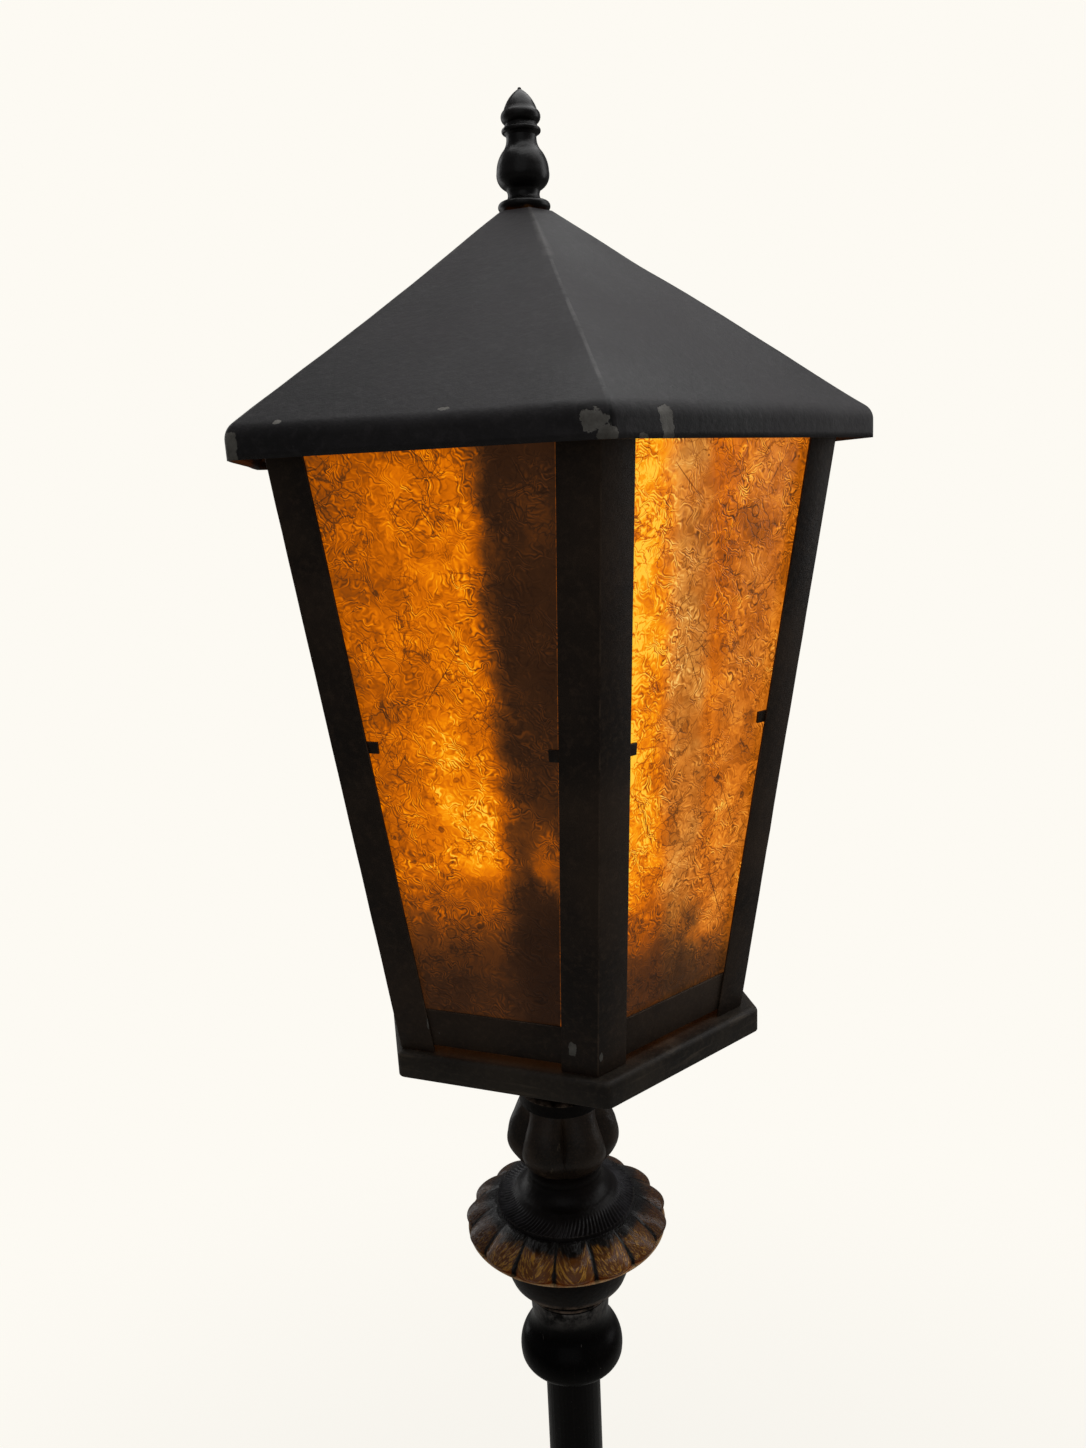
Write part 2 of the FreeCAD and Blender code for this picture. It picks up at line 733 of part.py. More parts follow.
def make_spacer():
    body = turned("tray_spacer", [
        ("spacer_foot_radius", "0", FLAT),
        ("spacer_foot_radius", "spacer_foot_height", -CURVED),
        ("spacer_waist_radius", "spacer_waist_height", -CURVED),
        ("spacer_flange_radius", "spacer_height - spacer_flange_thickness", FLAT),
        ("spacer_flange_radius", "spacer_height", FLAT),
    ], bore=PIPE_BORE)
    raise_to(body, SPACER_BOTTOM)


def make_tray():
    """A pan of sheet iron, open underneath, with a turned-down band and rounded corners.

    Its pipe hole is on the lamp's axis, and the pan itself sits a little to the right of it.
    """
    body = new_body("tray")
    sketch = new_sketch(body, "tray_outline")
    hexagon(sketch, "tray_radius")
    block = pad(body, "tray_block", sketch, "tray_band_height")
    doc.recompute()
    corners = edges_where(block, lambda box: box.ZLength > value("tray_band_height") / 2)
    rounded = round_edges(body, "tray_corners", block, corners, "tray_corner_round")
    rim = edges_where(rounded, lambda box: box.ZMin > value("tray_band_height") - 1e-6)
    rolled = round_edges(body, "tray_edge", rounded, rim, "tray_edge_round")
    open_face = faces_where(rolled, lambda box: box.ZMax < 1e-6)
    shell(body, "tray_shell", rolled, open_face, "tray_sheet")
    hole = new_sketch(body, "tray_hole_outline")
    circle(hole, PIPE_BORE, "-tray_shift_right", "-tray_shift_back")
    pocket(body, "tray_hole", hole, "tray_band_height", reversed_=True)
    level = total(TRAY_TOP, "-tray_band_height")
    body.Placement = FreeCAD.Placement(
        FreeCAD.Vector(value("tray_shift_right"), value("tray_shift_back"), value(level)), FreeCAD.Rotation())
    body.setExpression("Placement.Base.x", bound("tray_shift_right"))
    body.setExpression("Placement.Base.y", bound("tray_shift_back"))
    body.setExpression("Placement.Base.z", bound(level))
    disc("tray_washer", "washer_radius", "washer_thickness", PIPE_BORE, TRAY_TOP)


def edges_where(made, wanted):
    edges = enumerate(made.Shape.Edges, start=1)
    return ["Edge%d" % number for number, edge in edges if wanted(edge.BoundBox)]


def faces_where(made, wanted):
    faces = enumerate(made.Shape.Faces, start=1)
    return ["Face%d" % number for number, face in faces if wanted(face.BoundBox)]


def round_edges(body, name, base, edges, radius):
    made = body.newObject("PartDesign::Fillet", name)
    made.Base = (base, edges)
    made.Radius = value(radius)
    made.setExpression("Radius", bound(radius))
    doc.recompute()
    return made


def shell(body, name, base, open_faces, thickness):
    """Hollow the solid inwards to a sheet, open at the named faces."""
    made = body.newObject("PartDesign::Thickness", name)
    made.Base = (base, open_faces)
    made.Value = value(thickness)
    made.setExpression("Value", bound(thickness))
    made.Reversed = True
    made.Join = 0
    doc.recompute()
    return made


# ---------------------------------------------------------------- lantern frame

# A side leans out by this much for each millimetre of height, and its slanted length is longer.
COS_HALF = "cos(30)"
SIN_HALF = "sin(30)"
TAN_HALF = "tan(30)"
LEAN = "((frame_head_radius - frame_foot_radius) * %s / lantern_height)" % COS_HALF
STRETCH = "sqrt(1 + %s^2)" % LEAN
SPREAD = "((frame_head_radius - frame_foot_radius) / lantern_height)"


def frame_radius(height):
    """Corner radius of the lantern at a height above the tray."""
    return "(frame_foot_radius + %s * (%s))" % (SPREAD, height)


def side_half_width(height, depth, margin):
    """Half the width of a plate that lies at a depth inside the side's face."""
    return "(%s / 2 - (%s) * %s - (%s))" % (frame_radius(height), depth, TAN_HALF, margin)


# The head of the frame stays just under the roof's sheet.
ROOF_SLOPE = "(roof_rise / (eave_radius * %s))" % COS_HALF
ROOF_DROP = "(roof_sheet * sqrt(1 + %s^2))" % ROOF_SLOPE
HEAD_RADIUS = "(frame_head_radius + %s * skirt_height)" % SPREAD
HEAD_RISE = "(skirt_height + roof_rise * (1 - (%s + post_sheet) / eave_radius) - %s - seat_gap)" % (
    HEAD_RADIUS, ROOF_DROP)
POST_FOOT = "seat_gap"
POST_HEAD = "(lantern_height + %s)" % HEAD_RISE


def make_post(number):
    """A strip folded along its middle to the lantern's corner angle, leaning outwards."""
    label = "corner_post_%d" % number
    body = new_body(label)
    level_sheet = "(post_sheet * %s)" % STRETCH
    sections = []
    for name, height in (("foot", POST_FOOT), ("head", POST_HEAD)):
        sketch = new_sketch(body, "%s_%s" % (label, name), "XY_Plane", height)
        corner = frame_radius(height)
        end_across = "%s - post_flange * %s" % (corner, SIN_HALF)
        end_along = "post_flange * %s" % COS_HALF
        inner_across = "%s - %s * %s" % (end_across, level_sheet, COS_HALF)
        inner_along = "%s - %s * %s" % (end_along, level_sheet, SIN_HALF)
        draw(sketch, [(corner, "0", FLAT),
                      (end_across, end_along, FLAT),
                      (inner_across, inner_along, FLAT),
                      ("%s - %s / %s" % (corner, level_sheet, COS_HALF), "0", FLAT),
                      (inner_across, "-(%s)" % inner_along, FLAT),
                      (end_across, "-(%s)" % end_along, FLAT)])
        sections.append(sketch)
    folded = feature(body, "AdditiveLoft", label + "_fold", sections[0])
    folded.Sections = [sections[1]]
    folded.Ruled = True
    body.Placement = FreeCAD.Placement(FreeCAD.Vector(0, 0, value(TRAY_TOP)),
                                       FreeCAD.Rotation(FreeCAD.Vector(0, 0, 1), 360 / SIDES * (number - 1)))
    body.setExpression("Placement.Base.z", bound(TRAY_TOP))


def hang_on_side(body, number, depth):
    """Place a plate, drawn upright in the XZ plane, in the leaning face of one side.

    The plate's own foot line is the tray's level, and its outer face lies at the depth inside the side.
    """
    lean = math.degrees(math.atan(value(LEAN)))
    turn = 360.0 / SIDES * (number - 1) + 180.0 / SIDES + 90.0
    upright = FreeCAD.Rotation(FreeCAD.Vector(1, 0, 0), lean)
    outward = FreeCAD.Rotation(FreeCAD.Vector(0, 0, 1), turn)
    reach = value("frame_foot_radius * %s - (%s) * %s" % (COS_HALF, depth, STRETCH))
    foot = outward.multVec(FreeCAD.Vector(0, -reach, 0))
    foot.z = value(TRAY_TOP)
    body.Placement = FreeCAD.Placement(foot, outward.multiply(upright))
    body.setExpression("Placement.Base.z", bound(TRAY_TOP))


def make_plate(label, number, depth, thickness, foot, head, margin):
    """A flat plate that follows the side's taper between two heights above the tray."""
    body = new_body("%s_%d" % (label, number))
    sketch = new_sketch(body, "%s_%d_outline" % (label, number), "XZ_Plane")
    deepest = total(depth, thickness)
    low = side_half_width(foot, deepest, margin)
    high = side_half_width(head, deepest, margin)
    slant_foot = "(%s) * %s" % (foot, STRETCH)
    slant_head = "(%s) * %s" % (head, STRETCH)
    draw(sketch, [("-" + low, slant_foot, FLAT), (low, slant_foot, FLAT),
                  (high, slant_head, FLAT), ("-" + high, slant_head, FLAT)])
    pad(body, "%s_%d_sheet" % (label, number), sketch, thickness, reversed_=True)
    hang_on_side(body, number, depth)
    return body


RAIL_HEAD = "rail_lift + rail_height"
HEAD_RAIL_FOOT = "lantern_height + head_rail_drop"
HEAD_RAIL_HEAD = "lantern_height + head_rail_drop + head_rail_height"


def make_side(number):
    """One side of the lantern: rails behind the posts' flanges, and the mica behind the rails."""
    make_plate("bottom_rail", number, "post_sheet", "post_sheet", "rail_lift", RAIL_HEAD, "rail_end_gap")
    make_plate("top_rail", number, "post_sheet", "post_sheet", HEAD_RAIL_FOOT, HEAD_RAIL_HEAD,
               "rail_end_gap")
    make_plate("mica_panel", number, "2 * post_sheet", "mica_thickness", RAIL_HEAD + " - mica_lap",
               HEAD_RAIL_FOOT + " + mica_lap", "mica_edge_gap")


def make_clips():
    """Tabs between flange and mica at half height, two on each side, as one group of solids."""
    tabs = []
    half = value(side_half_width("clip_level", "post_sheet", "0"))
    edge = half - value("post_flange")
    thickness = value("post_sheet")
    foot = (value("clip_level") - value("clip_height") / 2) * value(STRETCH)
    width = value("clip_reach") + value("clip_hold")
    lean = FreeCAD.Rotation(FreeCAD.Vector(1, 0, 0), math.degrees(math.atan(value(LEAN))))
    reach = value("frame_foot_radius * %s - post_sheet * %s" % (COS_HALF, STRETCH))
    for side in range(SIDES):
        turn = FreeCAD.Rotation(FreeCAD.Vector(0, 0, 1), 360.0 / SIDES * side + 180.0 / SIDES + 90.0)
        spot = turn.multVec(FreeCAD.Vector(0, -reach, 0))
        for end in (-1, 1):
            left = edge - value("clip_reach") if end > 0 else -edge - value("clip_hold")
            tab = Part.makeBox(width, thickness, value("clip_height"), FreeCAD.Vector(left, 0, foot))
            tab.Placement = FreeCAD.Placement(spot, turn.multiply(lean))
            tabs.append(tab)
    clips = doc.addObject("Part::Feature", "mica_clips")
    clips.Label = "mica_clips"
    clips.Shape = Part.makeCompound(tabs)
    clips.Placement = FreeCAD.Placement(FreeCAD.Vector(0, 0, value(TRAY_TOP)), FreeCAD.Rotation())
    sub_parts.append(clips)


# ---------------------------------------------------------------- roof

def make_roof():
    """Six slopes of sheet iron that roll over at the eave into a narrow upright skirt."""
    body = new_body("roof")
    sketch = new_sketch(body, "roof_skirt_outline")
    hexagon(sketch, "eave_radius")
    pad(body, "roof_skirt", sketch, "skirt_height")
    eave = new_sketch(body, "roof_eave_outline", "XY_Plane", "skirt_height")
    hexagon(eave, "eave_radius")
    rise = "skirt_height + roof_rise * (1 - crown_radius / eave_radius)"
    crown = new_sketch(body, "roof_crown_outline", "XY_Plane", rise)
    hexagon(crown, "crown_radius")
    slopes = feature(body, "AdditiveLoft", "roof_slopes", eave)
    slopes.Sections = [crown]
    slopes.Ruled = True
    doc.recompute()
    level = value("skirt_height")
    edges = edges_where(slopes, lambda box: abs(box.ZMin - level) < 1e-6 and abs(box.ZMax - level) < 1e-6)
    rolled = round_edges(body, "roof_eave_roll", slopes, edges, "eave_roll")
    shell(body, "roof_shell", rolled, faces_where(rolled, lambda box: box.ZMax < 1e-6), "roof_sheet")
    hole = new_sketch(body, "roof_hole_outline")
    circle(hole, "roof_hole_radius")
    pocket(body, "roof_hole", hole, "2 * roof_rise", reversed_=True)
    raise_to(body, SKIRT_BOTTOM)
    disc("roof_washer", "roof_washer_radius", "washer_thickness", "roof_hole_radius",
         total(CROWN, "-roof_sheet", "-washer_thickness"))


# ---------------------------------------------------------------- lights

ARM_LEVEL = total(TRAY_TOP, "cluster_stem_height", "cluster_body_height / 2")
CAP_LEVEL = total(ARM_LEVEL, "arm_radius", "arm_rise")
SHELL_LEVEL = total(CAP_LEVEL, "socket_cap_height")
BULB_SEAT = total(SHELL_LEVEL, "core_floor", "seat_gap")
GLASS_LEVEL = total(BULB_SEAT, "bulb_base_length")


def make_cluster():
    """A turned body on the pipe's end with an arm to either side, each turned up to a socket."""
    body = turned("cluster_body", [
        ("cluster_foot_radius", "washer_thickness", FLAT),
        ("cluster_foot_radius", "cluster_foot_height", -CURVED),
        ("cluster_stem_radius", "cluster_cove_height", FLAT),
        ("cluster_stem_radius", "cluster_stem_height", FLAT),
        ("cluster_body_radius", "cluster_stem_height", CURVED),
        ("cluster_body_radius", "cluster_stem_height + cluster_body_height", FLAT),
    ])
    arm_height = "cluster_stem_height + cluster_body_height / 2"
    section = new_sketch(body, "arm_section", "YZ_Plane")
    circle(section, "arm_radius", "0", arm_height)
    pad(body, "arms", section, "2 * arm_reach", midplane=True)
    for name, side in (("left", "-arm_reach"), ("right", "arm_reach")):
        upright = new_sketch(body, "arm_%s_outline" % name, "XY_Plane", arm_height)
        circle(upright, "arm_riser_radius", side, "0")
        pad(body, "arm_%s_riser" % name, upright, "arm_radius + arm_rise")
    way = new_sketch(body, "cluster_pipe_hole_outline", "XY_Plane", "washer_thickness")
    circle(way, PIPE_BORE)
    pocket(body, "cluster_pipe_hole", way, "cluster_stem_height", reversed_=True)
    rod = new_sketch(body, "cluster_rod_hole_outline", "XY_Plane", "cluster_stem_height + cluster_body_height")
    circle(rod, "rod_radius + bore_gap")
    pocket(body, "cluster_rod_hole", rod, "rod_socket_depth")
    raise_to(body, TRAY_TOP)


def stand_beside(body, side, level):
    """Stand a socket's piece on the left (-1) or right (+1) arm."""
    body.Placement = FreeCAD.Placement(FreeCAD.Vector(side * value("arm_reach"), 0, value(level)),
                                       FreeCAD.Rotation())
    body.setExpression("Placement.Base.x", bound("%d * arm_reach" % side))
    body.setExpression("Placement.Base.z", bound(level))


def make_socket(number, side):
    """A keyless lamp holder: cap, shell and the core that the bulb screws into, with the bulb in it."""
    cap = turned("socket_cap_%d" % number, [
        ("socket_cap_foot_radius", "0", FLAT),
        ("socket_cap_foot_radius", "socket_cap_edge_height", CURVED),
        ("socket_cap_radius", "socket_cap_rim_height", FLAT),
        ("socket_cap_radius", "socket_cap_height", FLAT),
    ])
    stand_beside(cap, side, CAP_LEVEL)
    core = turned("socket_core_%d" % number, [
        ("socket_shell_radius - socket_wall - running_gap", "0", FLAT),
        ("socket_shell_radius - socket_wall - running_gap", "core_height", FLAT),
    ])
    well = new_sketch(core, "socket_well_%d_outline" % number, "XY_Plane", "core_height")
    circle(well, "bulb_base_radius + seat_gap")
    pocket(core, "socket_well_%d" % number, well, "core_height - core_floor")
    stand_beside(core, side, SHELL_LEVEL)
    shell_body = tube("socket_shell_%d" % number, "socket_shell_radius",
                      "socket_shell_radius - socket_wall", "socket_shell_height", SHELL_LEVEL)
    stand_beside(shell_body, side, SHELL_LEVEL)
    base = turned("bulb_base_%d" % number, [
        ("bulb_contact_radius", "0", FLAT),
        ("bulb_insulator_radius", "bulb_contact_height", FLAT),
        ("bulb_base_radius", "bulb_insulator_height", FLAT),
        ("bulb_base_radius", "bulb_base_length", FLAT),
    ])
    stand_beside(base, side, BULB_SEAT)
    glass = turned("bulb_glass_%d" % number, [
        ("bulb_neck_radius", "0", FLAT),
        ("bulb_throat_radius", "bulb_throat_height", -SOFT),
        ("bulb_shoulder_radius", "bulb_shoulder_height", SOFT),
        ("bulb_radius", "bulb_belly_height", ROUND),
        ("bulb_tip_radius", "bulb_length", FLAT),
    ])
    stand_beside(glass, side, GLASS_LEVEL)


# ---------------------------------------------------------------- rod and finial

def make_rod():
    foot = total(TRAY_TOP, "cluster_stem_height", "cluster_body_height", "-rod_socket_depth")
    head = total(CROWN, "rod_engagement")
    body = new_body("riser_rod")
    sketch = new_sketch(body, "riser_rod_section")
    circle(sketch, "rod_radius")
    pad(body, "riser_rod_bar", sketch, "%s - (%s)" % (head, foot))
    raise_to(body, foot)
    six_sided_nut("rod_nut", "rod_nut_radius", "rod_nut_thickness", "rod_radius + bore_gap",
                  total(TRAY_TOP, "cluster_stem_height", "cluster_body_height"))


def make_finial():
    """A turned vase and bud, bored from below for the brass insert that runs on the rod."""
    body = turned("finial", [
        ("finial_foot_radius", "0", FLAT),
        ("finial_base_radius", "finial_base_edge_height", ROUND),
        ("finial_base_top_radius", "finial_base_height", FLAT),
        ("finial_waist_radius", "finial_waist_start_height", -CURVED),
        ("finial_waist_radius", "finial_waist_height", CURVED),
        ("finial_belly_radius", "finial_belly_height", SOFT),
        ("finial_shoulder_radius", "finial_shoulder_height", -SOFT),
        ("finial_neck_radius", "finial_neck_height", FLAT),
        ("finial_ring_radius", "finial_ring_start_height", FULL),
        ("finial_ring_radius", "finial_ring_height", FLAT),
        ("finial_groove_radius", "finial_groove_height", ROUND),
        ("finial_bud_radius", "finial_bud_height", SOFT),
        ("finial_tip_radius", "finial_tip_height", ROUND),
        ("finial_point_radius", "finial_height", FLAT),
    ])
    insert_radius = "rod_radius + running_gap + insert_wall"
    bore = new_sketch(body, "finial_bore_outline")
    circle(bore, insert_radius + " + running_gap")
    pocket(body, "finial_bore", bore, "finial_bore_depth", reversed_=True)
    level = total(CROWN, "seat_gap")
    raise_to(body, level)
    tube("finial_insert", insert_radius, "rod_radius + running_gap", "insert_length", level)


# ---------------------------------------------------------------- build, check and write

make_base()
make_base_fittings()
make_pole()
make_ball()
make_cup()
make_collar()
make_neck()
make_knuckle()
make_spacer()
make_tray()
make_cluster()
for number, side in ((1, -1), (2, 1)):
    make_socket(number, side)
make_rod()
for number in range(1, SIDES + 1):
    make_post(number)
    make_side(number)
make_clips()
make_roof()
make_finial()
doc.recompute()

faults = []
for made in doc.Objects:
    if "Invalid" in made.State or "Error" in made.State:
        faults.append("%s: %s" % (made.Name, made.State))
for made in sub_parts:
    if made.Shape.isNull() or not made.Shape.isValid():
        faults.append("%s: no valid shape" % made.Label)
if faults:
    raise RuntimeError("; ".join(faults))

os.makedirs("parts", exist_ok=True)
for made in sub_parts:
    made.Shape.exportStep("parts/%s.step" % made.Label)
    box = made.Shape.BoundBox
    print("%-18s solids %2d volume %9.0f  x %7.1f %7.1f  y %7.1f %7.1f  z %7.1f %7.1f" % (
        made.Label, len(made.Shape.Solids), made.Shape.Volume,
        box.XMin, box.XMax, box.YMin, box.YMax, box.ZMin, box.ZMax))
print("sub-parts:", len(sub_parts))
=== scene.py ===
# %% [markdown]
# # A six-sided mica lantern on a turned stem
# This lesson dresses a floor lamp. Its lantern is folded sheet iron with panes of pressed mica, lit
# from inside, and it stands on a stem of turned and carved pieces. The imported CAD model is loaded
# first and never moves: each new piece is made where the CAD says that it goes.

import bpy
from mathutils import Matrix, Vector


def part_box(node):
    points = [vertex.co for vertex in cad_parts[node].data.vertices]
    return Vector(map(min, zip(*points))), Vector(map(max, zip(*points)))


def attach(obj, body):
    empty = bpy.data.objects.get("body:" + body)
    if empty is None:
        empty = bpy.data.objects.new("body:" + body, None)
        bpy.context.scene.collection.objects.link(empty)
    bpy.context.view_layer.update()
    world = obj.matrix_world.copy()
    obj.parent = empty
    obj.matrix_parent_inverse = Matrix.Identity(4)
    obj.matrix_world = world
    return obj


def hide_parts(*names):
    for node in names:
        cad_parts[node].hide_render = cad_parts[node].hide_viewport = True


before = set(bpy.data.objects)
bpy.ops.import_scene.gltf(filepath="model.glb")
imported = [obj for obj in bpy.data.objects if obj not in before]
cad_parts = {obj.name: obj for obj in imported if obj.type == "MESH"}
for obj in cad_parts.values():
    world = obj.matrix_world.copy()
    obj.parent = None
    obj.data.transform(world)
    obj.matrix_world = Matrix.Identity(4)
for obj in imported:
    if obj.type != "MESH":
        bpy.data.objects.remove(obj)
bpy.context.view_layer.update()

# %% Tools of the trade
import math

import bmesh
import bpy
from mathutils import Matrix, Vector, noise

MM = 0.001
SIDES = 6
AXIS = Vector((0, 0, 1))
ROOF_LOW, ROOF_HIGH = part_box("roof")
TRAY_LOW, TRAY_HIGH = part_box("tray")
print("skirt %.4f, crown %.4f, tray top %.4f" % (ROOF_LOW.z, ROOF_HIGH.z, TRAY_HIGH.z))

# %% [markdown]
# ## Finishes
# A finish on an old lamp is several layers: the paint, what has rubbed off it, and the dust and dents
# under it. Each layer is a pattern of its own, so small helpers that add one node each keep the
# recipes short enough to read. Patterns are read in metres from the object itself, so that they stay
# on the piece when it moves.

# %% Node helpers


def add(tree, kind, inputs=(), **settings):
    """Adds one shader node, with its inputs given as values or as other nodes' outputs."""
    node = tree.nodes.new("ShaderNode" + kind)
    for key, setting in settings.items():
        setattr(node, key, setting)
    for key, given in dict(inputs).items():
        if isinstance(given, bpy.types.NodeSocket):
            tree.links.new(given, node.inputs[key])
        else:
            node.inputs[key].default_value = given
    return node


def calc(tree, operation, first, second=0.0, third=0.0):
    return add(tree, "Math", {0: first, 1: second, 2: third}, operation=operation).outputs[0]


def times(tree, *factors):
    """The product of two or more values."""
    product = factors[0]
    for factor in factors[1:]:
        product = calc(tree, "MULTIPLY", product, factor)
    return product


def soften(tree, given, low, high, start=0.0, finish=1.0):
    """An even S-shaped change from start, at low, to finish, at high."""
    node = add(tree, "MapRange", {0: given, 1: low, 2: high, 3: start, 4: finish},
               interpolation_type="SMOOTHSTEP")
    return node.outputs[0]


def cloud(tree, place, scale, detail=3.0, roughness=0.55, distortion=0.0):
    node = add(tree, "TexNoise", {"Vector": place, "Scale": scale, "Detail": detail,
                                  "Roughness": roughness, "Distortion": distortion})
    return node.outputs[0]


def blend(tree, share, first, second):
    """Two colours mixed: share 0 is the first and 1 the second."""
    return add(tree, "Mix", {0: share, 6: first, 7: second}, data_type="RGBA").outputs[2]


def ramp(tree, share, stops):
    """A colour for each value from 0 to 1, through the (place, colour) stops."""
    node = add(tree, "ValToRGB", {0: share})
    elements = node.color_ramp.elements
    while len(elements) < len(stops):
        elements.new(0.5)
    for element, (place, colour) in zip(elements, stops):
        element.position = place
        element.color = (*colour, 1.0)
    return node.outputs[0]


def attribute(tree, name):
    return add(tree, "Attribute", attribute_name=name).outputs["Fac"]


def vector(tree, operation, first, second=(0, 0, 0), scale=1.0):
    return add(tree, "VectorMath", {0: first, 1: second, 3: scale}, operation=operation).outputs[0]


def shaken(tree, place, scale, reach, detail=2.0):
    """The place moved about by a noise, up to half the reach each way."""
    drift = add(tree, "TexNoise", {"Vector": place, "Scale": scale, "Detail": detail}).outputs["Color"]
    drift = vector(tree, "SUBTRACT", drift, (0.5, 0.5, 0.5))
    return vector(tree, "ADD", place, vector(tree, "SCALE", drift, scale=reach))


def new_finish(name, roughness=0.5, specular=0.3, coat=0.0):
    """A material with its Principled shader, and the place of each point on the object."""
    made = bpy.data.materials.new(name)
    made.use_nodes = True
    tree = made.node_tree
    shader = tree.nodes["Principled BSDF"]
    shader.inputs["Roughness"].default_value = roughness
    shader.inputs["Specular IOR Level"].default_value = specular
    shader.inputs["Coat Weight"].default_value = coat
    shader.inputs["Coat Roughness"].default_value = 0.15
    return made, tree, shader, add(tree, "TexCoord").outputs["Object"]


def bump(tree, shader, height, distance, strength=1.0):
    node = add(tree, "Bump", {"Height": height, "Distance": distance, "Strength": strength})
    tree.links.new(node.outputs[0], shader.inputs["Normal"])


# %% [markdown]
# ## Old paint
# Most of the lamp is painted iron or composition: dark paint that has gone cloudy, with finer
# speckles in it, hairline scratches, edges rubbed to a paler tone, and here and there a chip down to
# the grey metal. One recipe makes them all, with other colours and other amounts. The rubbed edges
# come from an attribute of the mesh, which is 1 on a rubbed edge and 0 elsewhere; on the cup and the
# ball it is 1 on some rings too, where it paints highlight lines.

# %% The recipe for old paint


def patches(tree, place, spots):
    """1 inside ragged patches, each given as (x, y, z, half width, half height) in millimetres."""
    ragged = cloud(tree, place, 260.0, 4.0, 0.65)
    found = 0.0
    for x, y, z, wide, high in spots:
        moved = vector(tree, "SUBTRACT", place, (x * MM, y * MM, z * MM))
        scaled = vector(tree, "MULTIPLY", moved, (1 / (wide * MM), 1 / (wide * MM), 1 / (high * MM)))
        reach = add(tree, "VectorMath", {0: scaled}, operation="LENGTH").outputs["Value"]
        reach = calc(tree, "MULTIPLY_ADD", ragged, 1.3, reach)
        found = calc(tree, "MAXIMUM", found, soften(tree, reach, 1.5, 1.42))
    return found


def scratches(tree, place, lean, length, width, share):
    """A few straight scratches: cells drawn out along one line, most of them left empty."""
    turned = add(tree, "VectorRotate", {"Vector": place, "Rotation": lean}, rotation_type="EULER_XYZ").outputs[0]
    drawn = vector(tree, "MULTIPLY", turned, (0.35 / width, 0.35 / width, 0.35 / length))
    cell = add(tree, "TexVoronoi", {"Vector": drawn, "Scale": 1.0}).outputs
    chosen = add(tree, "SeparateColor", {0: cell["Color"]}).outputs[0]
    return times(tree, soften(tree, cell["Distance"], 0.20, 0.12), soften(tree, chosen, 1 - share, 1.02 - share))


def old_paint(name, dark, light, rubbed, roughness=0.5, specular=0.3, coat=0.0, clouds=16.0, speckle=0.35,
              grain=0.2, rub_share=0.7, chips=(), streaks=None, extra=None):
    made, tree, shader, place = new_finish(name, roughness, specular, coat)
    broad = soften(tree, cloud(tree, place, clouds, 5.0, 0.6, 0.4), 0.32, 0.7)
    colour = blend(tree, broad, (*dark, 1), (*light, 1))
    fine = soften(tree, cloud(tree, place, clouds * 22, 3.0, 0.7), 0.45, 0.75)
    colour = blend(tree, times(tree, fine, speckle), colour, (*[1.8 * tone for tone in light], 1))
    # Paler streaks drawn out along one axis; on the pole they are painted highlights.
    if streaks:
        drawn = cloud(tree, vector(tree, "MULTIPLY", place, streaks), 1.0, 4.0, 0.6)
        drawn = soften(tree, drawn, 0.54, 0.74, 0.0, 0.45)
        colour = blend(tree, drawn, colour, (*[3 * tone for tone in light], 1))
    if extra:
        colour = extra(tree, place, colour)
    scratch = calc(tree, "MAXIMUM", scratches(tree, place, (0.5, 0.3, 0), 0.012, 0.0003, 0.02),
                   scratches(tree, place, (0.2, 1.3, 0.6), 0.008, 0.00025, 0.02))
    colour = blend(tree, times(tree, scratch, 0.6), colour, (*rubbed, 1))
    # Rubbed edges take the paler tone, and so do the marked rings that paint highlight lines.
    wear_and_highlight = times(tree, attribute(tree, "rub_and_highlight"), soften(tree, cloud(tree, place, 95.0, 4.0, 0.7), 0.36, 0.62))
    colour = blend(tree, times(tree, wear_and_highlight, rub_share), colour, (*rubbed, 1))
    depth = cloud(tree, place, 320.0, 4.0, 0.6)
    if chips:
        flaked = patches(tree, place, chips)
        metal = ramp(tree, cloud(tree, place, 150.0, 4.0, 0.7),
                     [(0.3, (0.085, 0.078, 0.065)), (0.7, (0.19, 0.18, 0.16))])
        colour = blend(tree, flaked, colour, metal)
        depth = calc(tree, "MULTIPLY_ADD", flaked, -0.8, depth)
    rough = calc(tree, "MULTIPLY_ADD", broad, 0.14, roughness)
    tree.links.new(colour, shader.inputs["Base Color"])
    tree.links.new(rough, shader.inputs["Roughness"])
    bump(tree, shader, depth, grain * MM)
    return made


# %% [markdown]
# The roof's skirt was folded at each corner, so there is a dark seam there, and the flared foot of the
# stem has a greyer band at its sides and back, a painted sheen where its feathers would catch the light.
# Each is a small addition to the same recipe.

# %% Additions to the recipe
FRONT = Vector((0.33, -0.94, 0))


def corner_seams(tree, place, colour):
    """A thin dark line down each corner of the skirt."""
    parts = add(tree, "SeparateXYZ", {0: place}).outputs
    angle = calc(tree, "ARCTAN2", parts[1], parts[0])
    apart = calc(tree, "PINGPONG", calc(tree, "ADD", angle, math.tau), math.pi / SIDES)
    away = times(tree, apart, ROOF_HIGH.x)
    line = times(tree, soften(tree, away, 0.0008, 0.0003),
                 soften(tree, parts[2], ROOF_LOW.z + 0.020, ROOF_LOW.z + 0.015))
    return blend(tree, times(tree, line, 0.85), colour, (0.004, 0.004, 0.004, 1))


